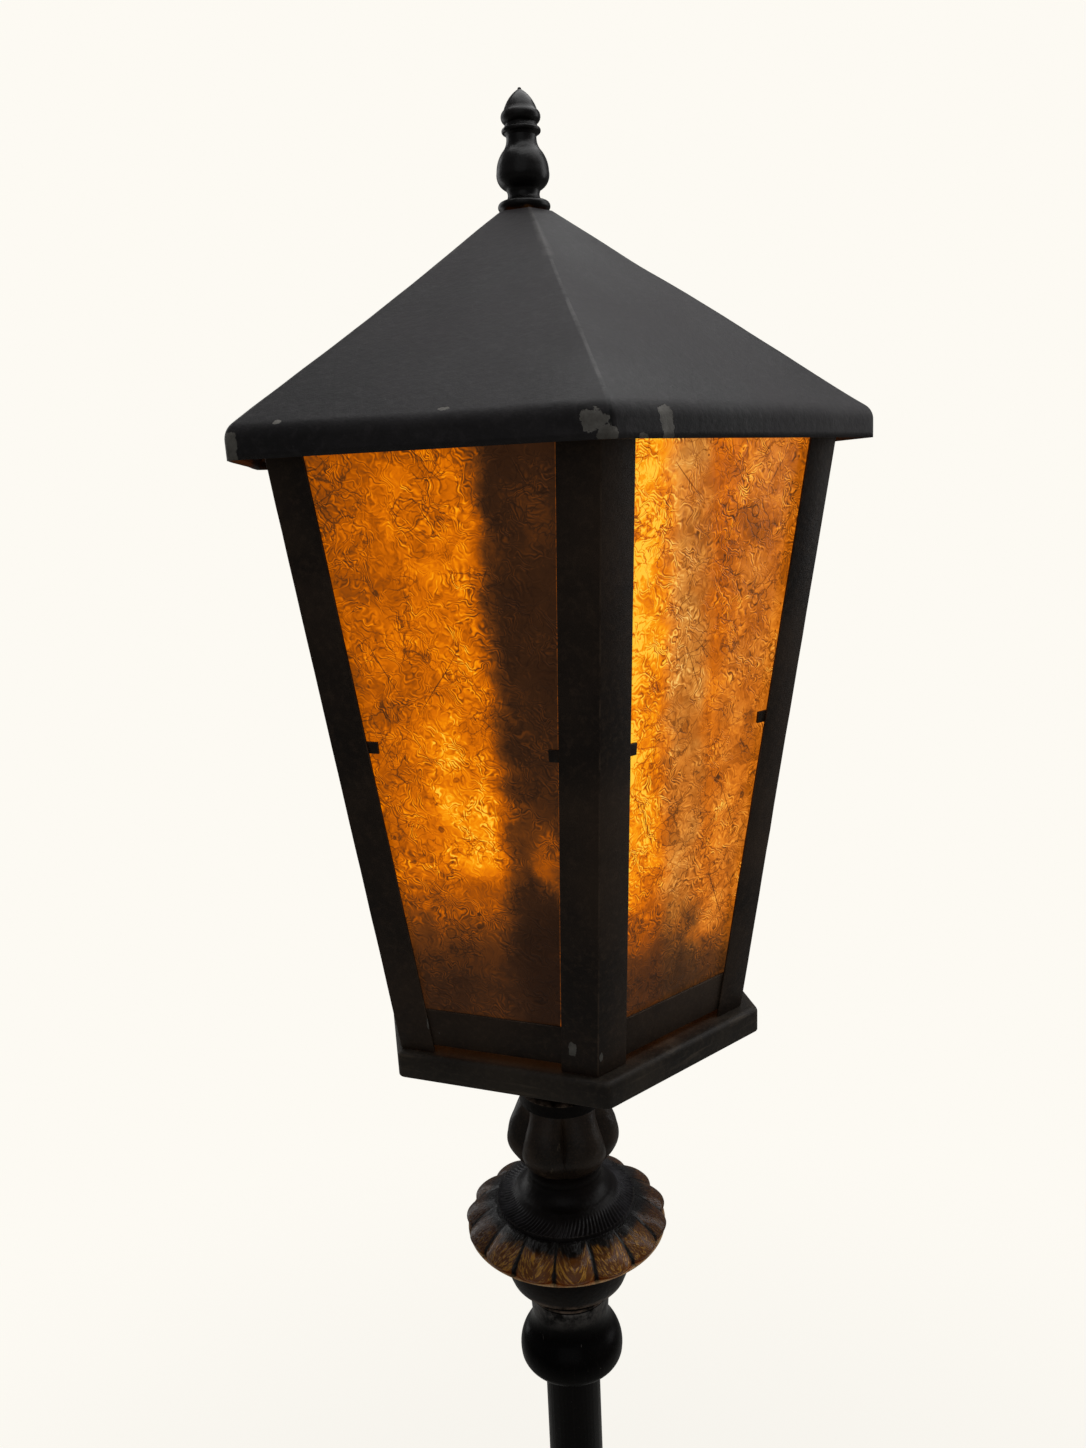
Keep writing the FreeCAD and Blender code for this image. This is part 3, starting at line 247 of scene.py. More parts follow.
def feather_sheen(tree, place, colour):
    """A painted grey sheen from where the flared foot's band begins, at its sides and back."""
    flat = vector(tree, "MULTIPLY", place, (1, 1, 0))
    radius = add(tree, "VectorMath", {0: flat}, operation="LENGTH").outputs["Value"]
    ring = times(tree, soften(tree, radius, 0.0285, 0.031), soften(tree, place_height(tree, place), 1.109, 1.105))
    painted_sheen = soften(tree, cloud(tree, place, 120.0, 4.0, 0.7), 0.3, 0.7, 0.3, 1.0)
    painted_sheen = times(tree, painted_sheen, soften(tree, facing_front(tree, place), 0.95, 0.3, 0.12, 1.0))
    return blend(tree, times(tree, ring, painted_sheen), colour, (0.048, 0.046, 0.050, 1))


def facing_front(tree, place):
    """1 on the side of the stem that faces the front, -1 behind."""
    around = vector(tree, "NORMALIZE", vector(tree, "MULTIPLY", place, (1, 1, 0)))
    return add(tree, "VectorMath", {0: around, 1: FRONT}, operation="DOT_PRODUCT").outputs["Value"]


def scuffs(tree, place, colour):
    """Beige scuffs where something has knocked against the piece."""
    knocks = cloud(tree, vector(tree, "MULTIPLY", place, (1, 1, 0.6)), 85.0, 6.0, 0.72, 0.6)
    return blend(tree, soften(tree, knocks, 0.615, 0.66, 0.0, 0.7), colour, (0.13, 0.095, 0.06, 1))


def place_height(tree, place):
    return add(tree, "SeparateXYZ", {0: place}).outputs[2]


ROOF_CHIPS = [
    (74, -140, 1519, 6.5, 5.0), (79, -140, 1514, 5.0, 4.0), (95, -116, 1521, 4.5, 5.0),
    (95.5, -115, 1515, 4.2, 5.5), (89, -126, 1512.5, 3.0, 2.0), (-79, -140, 1518, 5.0, 7.0),
    (-77, -139, 1512, 3.0, 5.0), (-57, -138, 1526, 2.4, 1.6), (14, -137, 1527, 3.6, 1.6),
    (-160, 4, 1519, 4.0, 5.0), (60, 141, 1517, 7.0, 3.0), (-120, 72, 1524, 5.0, 3.0),
]
FRAME_CHIPS = [
    (-29, -89, 1239, 1.6, 5.0), (-34, -90, 1245, 0.9, 5.5), (39, -89.5, 1244, 2.4, 5.0),
    (52, -87, 1241, 1.5, 3.0), (-101, 2, 1250, 2.0, 6.0), (48, 88, 1262, 2.0, 5.0),
]
roof_paint = old_paint("roof_paint", (0.0095, 0.0083, 0.0085), (0.0300, 0.0262, 0.0275), (0.10, 0.095, 0.09),
                       0.5, 0.28, clouds=11.0, speckle=0.3, chips=ROOF_CHIPS, extra=corner_seams)
frame_paint = old_paint("frame_paint", (0.013, 0.0085, 0.006), (0.046, 0.029, 0.018), (0.09, 0.06, 0.04),
                        0.5, 0.2, clouds=14.0, rub_share=0.6, chips=FRAME_CHIPS)
tray_paint = old_paint("tray_paint", (0.012, 0.009, 0.0065), (0.042, 0.032, 0.022), (0.10, 0.08, 0.06),
                       0.52, 0.25, clouds=18.0, rub_share=0.8, streaks=(30, 30, 420))
stem_paint = old_paint("stem_paint", (0.003, 0.002, 0.0015), (0.012, 0.0065, 0.0035), (0.30, 0.21, 0.15),
                       0.32, 0.10, clouds=40.0, grain=0.3)
foot_paint = old_paint("foot_paint", (0.0035, 0.0025, 0.002), (0.010, 0.0065, 0.005), (0.09, 0.08, 0.07),
                       0.32, 0.16, clouds=40.0, grain=0.3, extra=feather_sheen)
bud_paint = old_paint("bud_paint", (0.015, 0.0105, 0.007), (0.055, 0.034, 0.020), (0.20, 0.11, 0.07),
                      0.34, 0.3, clouds=45.0, grain=0.35, extra=scuffs)
# The pole's faint pale upright streaks are painted highlights.
pole_paint = old_paint("pole_paint", (0.0024, 0.002, 0.0018), (0.0055, 0.0045, 0.004), (0.25, 0.23, 0.21),
                       0.24, 0.07, clouds=30.0, speckle=0.15, grain=0.1, streaks=(700, 700, 5))
finial_paint = old_paint("finial_paint", (0.0045, 0.004, 0.0037), (0.012, 0.010, 0.009), (0.16, 0.11, 0.08),
                         0.3, 0.26, clouds=60.0, speckle=0.25, grain=0.15)
base_paint = old_paint("base_paint", (0.007, 0.0055, 0.0045), (0.020, 0.014, 0.010), (0.12, 0.085, 0.055),
                       0.4, 0.3, clouds=22.0, grain=0.4, rub_share=0.8)
steel = old_paint("plated_steel", (0.10, 0.095, 0.085), (0.20, 0.19, 0.17), (0.42, 0.40, 0.36),
                  0.3, 0.8, clouds=60.0, grain=0.05)
iron = old_paint("bare_iron", (0.03, 0.024, 0.02), (0.07, 0.05, 0.038), (0.15, 0.12, 0.10), 0.6, 0.4)
brass = old_paint("old_brass", (0.13, 0.075, 0.022), (0.33, 0.20, 0.062), (0.62, 0.42, 0.16),
                  0.28, 0.9, clouds=70.0, grain=0.05)
porcelain = old_paint("porcelain", (0.55, 0.50, 0.42), (0.72, 0.69, 0.62), (0.30, 0.24, 0.18), 0.2, 0.5, coat=0.5)
felt = old_paint("felt", (0.006, 0.010, 0.007), (0.016, 0.024, 0.016), (0.05, 0.06, 0.05), 0.95, 0.05,
                 clouds=90.0, speckle=0.6, grain=0.8)
bushing = old_paint("bushing", (0.006, 0.006, 0.006), (0.014, 0.013, 0.012), (0.05, 0.05, 0.05), 0.45, 0.3)
print(len(bpy.data.materials), "finishes ready")

# %% [markdown]
# ## Gilded gadroons
# The collar is the one bright piece of the stem. It was gilded or bronzed, and then stained: amber
# leaf strokes on each lobe, dark stain run down into the grooves, near black towards the neck, and
# bare bright metal along the lip. It is brightest towards the front, because its sides are darkened
# with painted shade. The lobes are known to the mesh, which carries how far each point is from its
# groove and how high it is.

# %% The recipe for gilded gadroons

def gilded():
    made, tree, shader, place = new_finish("gilded_gadroons", 0.28, 0.3, 0.15)
    crest, across, climb = [attribute(tree, name) for name in ("crest", "across", "climb")]
    wander = cloud(tree, place, 110.0, 4.0, 0.65)
    spread = calc(tree, "MULTIPLY_ADD", calc(tree, "ABSOLUTE", across), 1.0, times(tree, climb, -1.5))
    along = calc(tree, "ADD", climb, calc(tree, "ABSOLUTE", across))
    chart = add(tree, "CombineXYZ", {0: times(tree, spread, 7.5), 1: times(tree, along, 1.8),
                                     2: times(tree, facing_front(tree, place), 60.0)}).outputs[0]
    leaf = soften(tree, cloud(tree, chart, 1.0, 3.0, 0.6, 0.5), 0.47, 0.62)
    gold = blend(tree, leaf, (0.17, 0.052, 0.005, 1), (0.62, 0.28, 0.035, 1))
    lower = soften(tree, calc(tree, "MULTIPLY_ADD", wander, 0.2, climb), 0.42, 0.16)
    gold = blend(tree, times(tree, lower, 0.75), gold, (0.34, 0.068, 0.005, 1))
    # Painted shade: the gilding turns dark on the sides away from the front.
    side = soften(tree, facing_front(tree, place), 0.88, 0.3)
    gold = blend(tree, times(tree, side, 0.8), gold, (0.040, 0.013, 0.006, 1))
    ragged = calc(tree, "MULTIPLY_ADD", wander, 0.5, -0.25)
    bare = soften(tree, calc(tree, "ADD", crest, ragged), 0.12, 0.34)
    stained = soften(tree, calc(tree, "ADD", climb, ragged), 0.92, 0.72)
    colour = blend(tree, times(tree, bare, stained), (0.0085, 0.0065, 0.005, 1), gold)
    lip = times(tree, attribute(tree, "rub_and_highlight"), soften(tree, wander, 0.35, 0.55, 0.4, 1.0))
    colour = blend(tree, lip, colour, (0.85, 0.52, 0.24, 1))
    tree.links.new(colour, shader.inputs["Base Color"])
    bump(tree, shader, calc(tree, "ADD", leaf, cloud(tree, place, 400.0, 3.0)), 0.25 * MM)
    return made


gadroon_paint = gilded()

# %% [markdown]
# ## The camera
# The lamp is seen from close by, a little above the lantern's middle, so that the lower pieces fall
# away beneath it. The lens and the angles belong together: a longer lens further off would flatten
# the taper of the lantern.

# %% Camera
camera = bpy.data.objects.new("camera", bpy.data.cameras.new("camera"))
bpy.context.scene.collection.objects.link(camera)
bpy.context.scene.camera = camera
HEADING, TILT, ROLL = math.radians(20.36), math.radians(-12.25), math.radians(-2.44)
turn = Matrix.Rotation(HEADING, 4, "Z") @ Matrix.Rotation(math.pi / 2 + TILT, 4, "X")
turn = turn @ Matrix.Rotation(ROLL, 4, "Z")
camera.matrix_world = Matrix.Translation((0.19088, -0.51880, 1.496)) @ turn
camera.data.lens = 26.99
camera.data.sensor_width = 36.0
camera.data.clip_start = 0.01
print("camera looks along", [round(c, 4) for c in turn.to_3x3() @ Vector((0, 0, -1))])

# %% [markdown]
# ## Making a piece
# A finished piece is one mesh at the origin that rides on a CAD body and stands for the plain solid
# of the same shape. Turned pieces are spun from half of their outline, which is how a lathe makes
# them. The outline is given as stations, and the stretch after a station can bow out or in. Sharp
# corners get extra points close by, so that the rubbed paint stays narrow.

# %% Helpers for pieces


def settle(mesh, name, body, slot, finish, *nodes, crease=35.0):
    """Turns the mesh into a piece that rides on the body and stands for the named CAD nodes."""
    bmesh.ops.remove_doubles(mesh, verts=mesh.verts, dist=0.002 * MM)
    bmesh.ops.recalc_face_normals(mesh, faces=mesh.faces)
    data = bpy.data.meshes.new(name)
    mesh.to_mesh(data)
    mesh.free()
    data.shade_smooth()
    data.set_sharp_from_angle(angle=math.radians(crease))
    made = bpy.data.objects.new(name, data)
    bpy.context.scene.collection.objects.link(made)
    data.materials.append(finish)
    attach(made, body)
    if nodes:
        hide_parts(*nodes)
    print("%-18s %6d faces on %s" % (name, len(data.polygons), body))
    return made


def bowed(stations, steps=6):
    """The outline through (radius, height, bow) stations, in millimetres, with its arcs divided."""
    outline = []
    for (r, z, bow), (next_r, next_z, _) in zip(stations, stations[1:]):
        outline.append((r, z))
        chord = Vector((next_r - r, next_z - z))
        if bow:
            side = Vector((chord.y, -chord.x)).normalized()
            radius = chord.length * (1 / (8 * abs(bow)) + abs(bow) / 2)
            half = math.asin(min(1.0, chord.length / 2 / radius))
            middle = Vector((r + next_r, z + next_z)) / 2
            centre = middle - side * math.copysign(radius * math.cos(half), bow)
            for step in range(1, steps):
                angle = half * (2 * step / steps - 1)
                spot = centre + side * math.copysign(radius * math.cos(angle), bow)
                spot += chord.normalized() * radius * math.sin(angle)
                outline.append((spot.x, spot.y))
        elif chord.length > 2.0:
            near = chord.normalized() * 0.5
            outline += [(r + near.x, z + near.y), (next_r - near.x, next_z - near.y)]
    outline.append(stations[-1][:2])
    return outline


def spun(outline, level, turns=96):
    """A new mesh: the outline of (radius, height) points spun round the lamp's axis."""
    mesh = bmesh.new()
    points = [mesh.verts.new((r * MM, 0, level + z * MM)) for r, z in outline]
    edges = [mesh.edges.new(pair) for pair in zip(points, points[1:])]
    bmesh.ops.spin(mesh, geom=points + edges, cent=(0, 0, 0), axis=AXIS, angle=math.tau,
                   steps=turns, use_merge=True)
    bmesh.ops.remove_doubles(mesh, verts=mesh.verts, dist=0.01 * MM)
    bmesh.ops.recalc_face_normals(mesh, faces=mesh.faces)
    return mesh


def mark_edges(mesh, sharper_than=28.0, longest=8.0):
    """Marks the points of sharp outer edges as rubbed, except where long facets would carry it on."""
    rub_and_highlight = mesh.verts.layers.float.new("rub_and_highlight")
    for edge in mesh.edges:
        if edge.is_manifold and edge.calc_face_angle_signed() > math.radians(sharper_than):
            for vert in edge.verts:
                if max(link.calc_length() for link in vert.link_edges) < longest * MM:
                    vert[rub_and_highlight] = 1.0


def level_of(node):
    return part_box(node)[0].z


def turned_piece(name, node, stations, slot, finish, turns=96, body="stand", bore=5.25, steps=8, wear_and_highlight=()):
    """Spins the stations, from the foot up, and closes the ends down to the bore.

    The last list gives (low, high) heights of rings marked like rubbed edges, as painted highlight lines.
    """
    outline = bowed(stations, steps)
    outline = [(bore, outline[0][1])] + outline + [(bore, outline[-1][1])]
    level = level_of(node)
    mesh = spun(outline, level, turns)
    mark_edges(mesh)
    rub_and_highlight = mesh.verts.layers.float["rub_and_highlight"]
    for vert in mesh.verts:
        height = (vert.co.z - level) / MM
        if any(low < height < high for low, high in wear_and_highlight):
            vert[rub_and_highlight] = 1.0
    return settle(mesh, name, body, slot, finish, node)


def smooth_line(points, steps=8):
    """More points between the given ones, on a smooth curve through all of them."""
    line = []
    for index in range(len(points) - 1):
        p = [Vector(points[min(max(index + k, 0), len(points) - 1)]) for k in (-1, 0, 1, 2)]
        for step in range(steps):
            t = step / steps
            line.append(tuple(0.5 * ((2 * p[1]) + (p[2] - p[0]) * t
                                     + (2 * p[0] - 5 * p[1] + 4 * p[2] - p[3]) * t ** 2
                                     + (3 * p[1] - p[0] - 3 * p[2] + p[3]) * t ** 3)))
    line.append(tuple(points[-1]))
    return line


def carved(line, level, lobes, turns, first_lobe=0.0):
    """A spun piece with lobes: the line is (height, valley radius, crest radius), in millimetres.

    Its points keep how near they are to a lobe's crest, the side of the lobe they are on, and their
    share of the height, for the paint to read.
    """
    mesh = bmesh.new()
    crest, across, climb, swell = [mesh.verts.layers.float.new(name)
                                   for name in ("crest", "across", "climb", "swell")]
    points = []
    for z, valley, top in line:
        points.append(mesh.verts.new((valley * MM, 0, level + z * MM)))
        points[-1][swell] = top / valley - 1
        points[-1][climb] = z / line[-1][0]
    edges = [mesh.edges.new(pair) for pair in zip(points, points[1:])]
    bmesh.ops.spin(mesh, geom=points + edges, cent=(0, 0, 0), axis=AXIS, angle=math.tau,
                   steps=turns, use_merge=True)
    half = math.pi / lobes
    for vert in mesh.verts:
        angle = math.atan2(vert.co.y, vert.co.x) - math.radians(first_lobe)
        vert[across] = ((angle + half) % (2 * half)) / half - 1
        vert[crest] = 1 - abs(vert[across]) ** 2.2
        vert.co.xy *= 1 + vert[swell] * vert[crest]
    rims = [edge for edge in mesh.edges if edge.is_boundary]
    bmesh.ops.holes_fill(mesh, edges=rims, sides=0)
    return mesh


# %% [markdown]
# ## Folded sheet iron
# The posts and rails are plain strips of thin sheet, so what makes them look real is small: an edge
# that catches the light, and a face that isn't quite flat. A copy of the CAD mesh gets its facets
# joined, its edges bevelled and the bevels marked as rubbed. Round solids keep their facets, and only
# their sharp edges are marked.

# %% Dress a CAD solid


def merged_copy(node):
    mesh = bmesh.new()
    mesh.from_mesh(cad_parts[node].data)
    bmesh.ops.remove_doubles(mesh, verts=mesh.verts, dist=0.01 * MM)
    return mesh


def dressed(node, name, body, slot, finish, bevel=0.35, wave=0.0, cuts=0.0):
    """A copy of the CAD node with bevelled, rubbed edges, cut at even heights and gently waved."""
    mesh = merged_copy(node)
    bmesh.ops.dissolve_limit(mesh, angle_limit=math.radians(1.0), verts=mesh.verts, edges=mesh.edges)
    sharp = [edge for edge in mesh.edges if edge.is_manifold and edge.calc_face_angle() > math.radians(25)]
    made = bmesh.ops.bevel(mesh, geom=sharp, offset=bevel * MM, offset_type="OFFSET", segments=2,
                           affect="EDGES", profile=0.5, material=-1, clamp_overlap=True)
    rub_and_highlight = mesh.loops.layers.float.new("rub_and_highlight")
    for face in made["faces"]:
        for loop in face.loops:
            loop[rub_and_highlight] = 1.0
    if cuts:
        low = min(vert.co.z for vert in mesh.verts)
        high = max(vert.co.z for vert in mesh.verts)
        for step in range(1, int((high - low) / (cuts * MM))):
            geometry = mesh.verts[:] + mesh.edges[:] + mesh.faces[:]
            bmesh.ops.bisect_plane(mesh, geom=geometry, plane_co=(0, 0, low + step * cuts * MM), plane_no=AXIS)
    for vert in mesh.verts:
        outward = Vector((vert.co.x, vert.co.y, 0)).normalized()
        vert.co -= outward * abs(noise.noise(vert.co * 28.0)) * wave * MM
    return settle(mesh, name, body, slot, finish, node)


def rounded(node, name, body, slot, finish):
    """A copy of the CAD node whose round faces are shaded smooth and whose sharp edges are rubbed."""
    mesh = merged_copy(node)
    bmesh.ops.recalc_face_normals(mesh, faces=mesh.faces)
    mark_edges(mesh)
    return settle(mesh, name, body, slot, finish, node)


for number in range(1, SIDES + 1):
    dressed("corner_post_%d" % number, "post_%d" % number, "shade", "frame_iron", frame_paint,
            bevel=0.4, wave=0.35, cuts=12.0)
    dressed("bottom_rail_%d" % number, "foot_rail_%d" % number, "shade", "frame_iron", frame_paint)
    dressed("top_rail_%d" % number, "head_rail_%d" % number, "shade", "frame_iron", frame_paint)
dressed("mica_clips", "clips", "shade", "clip_iron", frame_paint, bevel=0.2)
dressed("tray", "tray_pan", "stand", "tray_iron", tray_paint, bevel=0.3)

# %% [markdown]
# ## Pressed mica
# Mica splits into leaves thinner than paper. The panes are built up from thousands of flakes in
# shellac, so light from behind shows overlapping patches, torn edges, curled strokes, bubbles, dark
# specks and a few long straight cracks. The flakes are made twice: as a shallow relief in the mesh,
# which catches the light of the room, and as a pattern that glows. The glow is painted light, which
# stands in for the bulbs shining through the mica.

# %% Where the panes are
FOOT_RADIUS, HEAD_RADIUS, LANTERN_HEIGHT = 101.0, 144.5, 282.0
PANE_DEPTH, PANE_THICKNESS, PANE_RELIEF = 2.45, 0.9, 0.4
PANE_FOOT, PANE_HEAD = 13.0, 295.0
SPREAD = (HEAD_RADIUS - FOOT_RADIUS) / LANTERN_HEIGHT
LEAN = math.atan(SPREAD * math.cos(math.pi / SIDES))


def on_side(side, across, height, depth):
    """The point at these millimetres across the side, above the tray and behind the side's face."""
    angle = math.radians(60 * side - 30)
    outward = Vector((math.cos(angle), math.sin(angle), 0))
    along = Vector((-outward.y, outward.x, 0))
    up = outward * math.sin(LEAN) + AXIS * math.cos(LEAN)
    face = outward * math.cos(LEAN) - AXIS * math.sin(LEAN)
    foot = outward * FOOT_RADIUS * math.cos(math.pi / SIDES)
    spot = foot + up * (height / math.cos(LEAN)) + along * across - face * depth
    return spot * MM + AXIS * TRAY_HIGH.z


def half_width(height):
    return (FOOT_RADIUS + SPREAD * height) / 2


def pane(side, columns=110, rows=210):
    """One pane: a grid tapered to its side, with the flakes as a shallow relief."""
    mesh = bmesh.new()
    bmesh.ops.create_grid(mesh, x_segments=columns, y_segments=rows, size=1.0, calc_uvs=True)
    chart = mesh.loops.layers.uv.verify()
    for vert in mesh.verts:
        height = PANE_FOOT + (PANE_HEAD - PANE_FOOT) * (vert.co.y + 1) / 2
        reach = half_width(height) - 3.3 * math.tan(math.pi / SIDES) - 1.2
        vert.co = Vector((vert.co.x * reach, height, 0))
    for face in mesh.faces:
        for loop in face.loops:
            loop[chart].uv = (loop.vert.co.x * MM, loop.vert.co.y * MM)
    for vert in mesh.verts:
        across, height, _ = vert.co
        spot = Vector((across * 0.11, height * 0.11, side * 7.3))
        spot += noise.noise_vector(spot * 1.4) * 0.9
        near = noise.voronoi(spot)[0]
        valley = 1 - min(1.0, (near[1] - near[0]) * 2.2)
        relief = PANE_RELIEF * (0.5 * valley + 0.25 * (noise.noise(spot * 0.5) + 1))
        vert.co = on_side(side, across, height, PANE_DEPTH + relief)
    return mesh


# %% [markdown]
# The glow is worked out from each pane's own map, in metres across it and above the tray. It starts
# as one number, how much light comes through, all of it painted: pools of light round the two bulbs,
# upright stripes of shade, and a dark foot that the bulbs don't reach. The flakes then divide it up,
# and only at the end does a ramp give it colour, from brown through orange to yellow.

# %% The flakes
GLOW = [(0.0, (0.010, 0.004, 0.002)), (0.16, (0.034, 0.012, 0.004)), (0.34, (0.13, 0.034, 0.004)),
        (0.52, (0.40, 0.082, 0.0)), (0.68, (0.70, 0.155, 0.0)), (0.82, (0.93, 0.255, 0.0)),
        (0.93, (1.0, 0.40, 0.006)), (1.0, (1.0, 0.58, 0.04))]
GREY_GLOW = [(0.0, (0.012, 0.006, 0.003)), (0.3, (0.10, 0.038, 0.009)), (0.55, (0.38, 0.135, 0.018)),
          (0.8, (0.72, 0.34, 0.07)), (1.0, (0.95, 0.62, 0.22))]


def cells(tree, spot, scale, feature="F1"):
    return add(tree, "TexVoronoi", {"Vector": spot, "Scale": scale}, feature=feature).outputs


def chance(tree, cell, channel=0):
    return add(tree, "SeparateColor", {0: cell["Color"]}).outputs[channel]


def flake_tone(tree, torn):
    """0 to 1, another value for each flake of three overlapping layers."""
    tone = 0.0
    for scale, share in ((62.0, 0.40), (118.0, 0.34), (225.0, 0.26)):
        tone = calc(tree, "MULTIPLY_ADD", chance(tree, cells(tree, torn, scale)), share, tone)
    return tone


def flake_edges(tree, torn, spot):
    """Thin lines along some of the flakes' borders."""
    coarse = soften(tree, cells(tree, torn, 62.0, "DISTANCE_TO_EDGE")[0], 0.030, 0.0)
    fine = soften(tree, cells(tree, torn, 150.0, "DISTANCE_TO_EDGE")[0], 0.055, 0.0, 0.0, 0.8)
    shown = soften(tree, cloud(tree, spot, 70.0, 2.0), 0.42, 0.58)
    return times(tree, calc(tree, "MAXIMUM", coarse, fine), shown)


def curled_stroke_shading(tree, spot):
    """-1 to 1: ripples like those of crinkled foil, with a painted highlight on one flank and painted shade on the
    other.
    """
    swirl = shaken(tree, spot, 85.0, 0.016)
    flanks = []
    for step in ((0, 0, 0), (0.00042, 0.00036, 0)):
        ripple = cloud(tree, vector(tree, "ADD", swirl, step), 112.0, 1.5, 0.5, 0.8)
        flanks.append(calc(tree, "SINE", times(tree, ripple, 48.0)))
    shown = soften(tree, cloud(tree, spot, 48.0, 2.0), 0.34, 0.6, 0.35, 1.0)
    return times(tree, calc(tree, "SUBTRACT", *flanks), shown, 0.75)


def blemishes(tree, spot):
    """Specks, bubbles with a dark rim, and long straight cracks."""
    dot = cells(tree, spot, 190.0)
    speck = times(tree, soften(tree, dot["Distance"], 0.16, 0.1), soften(tree, chance(tree, dot, 2), 0.87, 0.9))
    bubble = cells(tree, shaken(tree, spot, 160.0, 0.002), 75.0)
    rim = soften(tree, calc(tree, "ABSOLUTE", calc(tree, "SUBTRACT", bubble["Distance"], 0.2)), 0.035, 0.01)
    ring = times(tree, rim, soften(tree, chance(tree, bubble, 1), 0.88, 0.9))
    bent = shaken(tree, spot, 14.0, 0.006)
    crack = 0.0
    for lean in (0.62, -0.45, 2.3):
        chart = vector(tree, "ADD", bent, (0.31 * lean, 0.11, 0))
        chart = add(tree, "VectorRotate", {"Vector": chart, "Angle": lean}, rotation_type="Z_AXIS").outputs[0]
        drawn = vector(tree, "MULTIPLY", chart, (900.0, 15.0, 40.0))
        cell = cells(tree, drawn, 1.0)
        line = times(tree, soften(tree, cell["Distance"], 0.34, 0.16), soften(tree, chance(tree, cell), 0.975, 0.985))
        crack = calc(tree, "MAXIMUM", crack, line)
    return calc(tree, "MAXIMUM", calc(tree, "MAXIMUM", speck, times(tree, ring, 0.7)), times(tree, crack, 0.8))


# %% The recipe for glowing mica


def hill(tree, across, height, pool):
    """Light that falls off evenly round a place, given in metres with its reach each way."""
    at_across, at_height, reach_across, reach_height, gain = pool
    a = times(tree, calc(tree, "SUBTRACT", across, at_across), 1 / reach_across)
    b = times(tree, calc(tree, "SUBTRACT", height, at_height), 1 / reach_height)
    square = calc(tree, "MULTIPLY_ADD", a, a, times(tree, b, b))
    return times(tree, calc(tree, "EXPONENT", times(tree, square, -1.0)), gain)


def stripe(tree, across, height, foot, head, reach, one_sided=False):
    """A soft upright stripe, whose middle goes from foot to head, or all that is right of it."""
    slope = (head - foot) / (LANTERN_HEIGHT * MM)
    gap = calc(tree, "SUBTRACT", across, calc(tree, "MULTIPLY_ADD", height, slope, foot))
    if one_sided:
        return soften(tree, gap, -0.7 * reach, 0.7 * reach)
    return soften(tree, calc(tree, "ABSOLUTE", gap), reach, 0.25 * reach)


def mica_finish(side, level, pools, shades, grey_bands, foot, late_pools=(), leak_side=1):
    made, tree, shader, _ = new_finish("mica_%d" % side, 0.4, 0.16)
    chart = add(tree, "UVMap").outputs[0]
    parts = add(tree, "SeparateXYZ", {0: chart}).outputs
    across, height = parts[0], parts[1]
    spot = vector(tree, "ADD", chart, (0, 0, 0.37 * side))
    torn = shaken(tree, shaken(tree, spot, 45.0, 0.014), 200.0, 0.006, 4.0)
    tone, edges = flake_tone(tree, torn), flake_edges(tree, torn, spot)
    strokes, marks = curled_stroke_shading(tree, spot), blemishes(tree, spot)
    wander = calc(tree, "MULTIPLY_ADD", cloud(tree, spot, 62.0, 5.0, 0.65), 0.022, -0.011)
    loose_across, loose_height = calc(tree, "ADD", across, wander), calc(tree, "ADD", height, wander)
    light = level
    for pool in pools:
        light = calc(tree, "ADD", hill(tree, loose_across, loose_height, pool), light)
    for *shade, keep in shades:
        mask = stripe(tree, loose_across, height, *shade)
        light = times(tree, light, calc(tree, "MULTIPLY_ADD", mask, keep - 1.0, 1.0))
    foot_height, foot_slope, foot_reach, foot_keep = foot
    sunk = calc(tree, "MULTIPLY_ADD", loose_across, -foot_slope, loose_height)
    light = times(tree, light, soften(tree, sunk, foot_height - foot_reach, foot_height + foot_reach, foot_keep, 1.0))
    for pool in late_pools:
        light = calc(tree, "ADD", hill(tree, loose_across, loose_height, pool), light)
    # A painted rim of light along one edge of the pane, beside the post.
    edge = calc(tree, "MULTIPLY_ADD", across, leak_side, (19.2 - half_width(0)) * MM)
    edge = calc(tree, "MULTIPLY_ADD", height, -SPREAD / 2, edge)
    light = calc(tree, "MAXIMUM", light, soften(tree, edge, 0.0, 0.0008, 0.0, 0.5))
    broad = cloud(tree, spot, 42.0, 4.0, 0.6)
    light = times(tree, light, calc(tree, "MULTIPLY_ADD", tone, 0.46, 0.77),
                  soften(tree, broad, 0.25, 0.75, 0.86, 1.12))
    light = times(tree, light, calc(tree, "MULTIPLY_ADD", edges, -0.40, 1.0),
                  calc(tree, "MULTIPLY_ADD", strokes, 0.27, 1.0), calc(tree, "MULTIPLY_ADD", marks, -0.5, 1.0))
    # Faint painted glints of the ripples, which show in the dark stripes too.
    light = calc(tree, "MULTIPLY_ADD", strokes, 0.02, light)
    colour = ramp(tree, light, GLOW)
    # Upright grey bands in the painted glow, where the painted light takes a greyer ramp.
    greyed_glow = ramp(tree, light, GREY_GLOW)
    for *grey_band, share in grey_bands:
        mask = times(tree, stripe(tree, loose_across, height, *grey_band), share)
        mask = times(tree, mask, soften(tree, broad, 0.35, 0.65, 0.55, 1.0))
        colour = blend(tree, mask, colour, greyed_glow)
    # The pane's painted light: an emission that stands in for the bulbs' light through the mica.
    tree.links.new(colour, shader.inputs["Emission Color"])
    shader.inputs["Emission Strength"].default_value = 1.0
    body = ramp(tree, tone, [(0.0, (0.004, 0.002, 0.001)), (1.0, (0.014, 0.006, 0.002))])
    tree.links.new(body, shader.inputs["Base Color"])
    relief = calc(tree, "MULTIPLY_ADD", edges, -0.5, calc(tree, "MULTIPLY_ADD", strokes, 0.4, tone))
    bump(tree, shader, relief, 0.2 * MM, 0.8)
    return made


# %% The six panes
RIGHT_OF = True
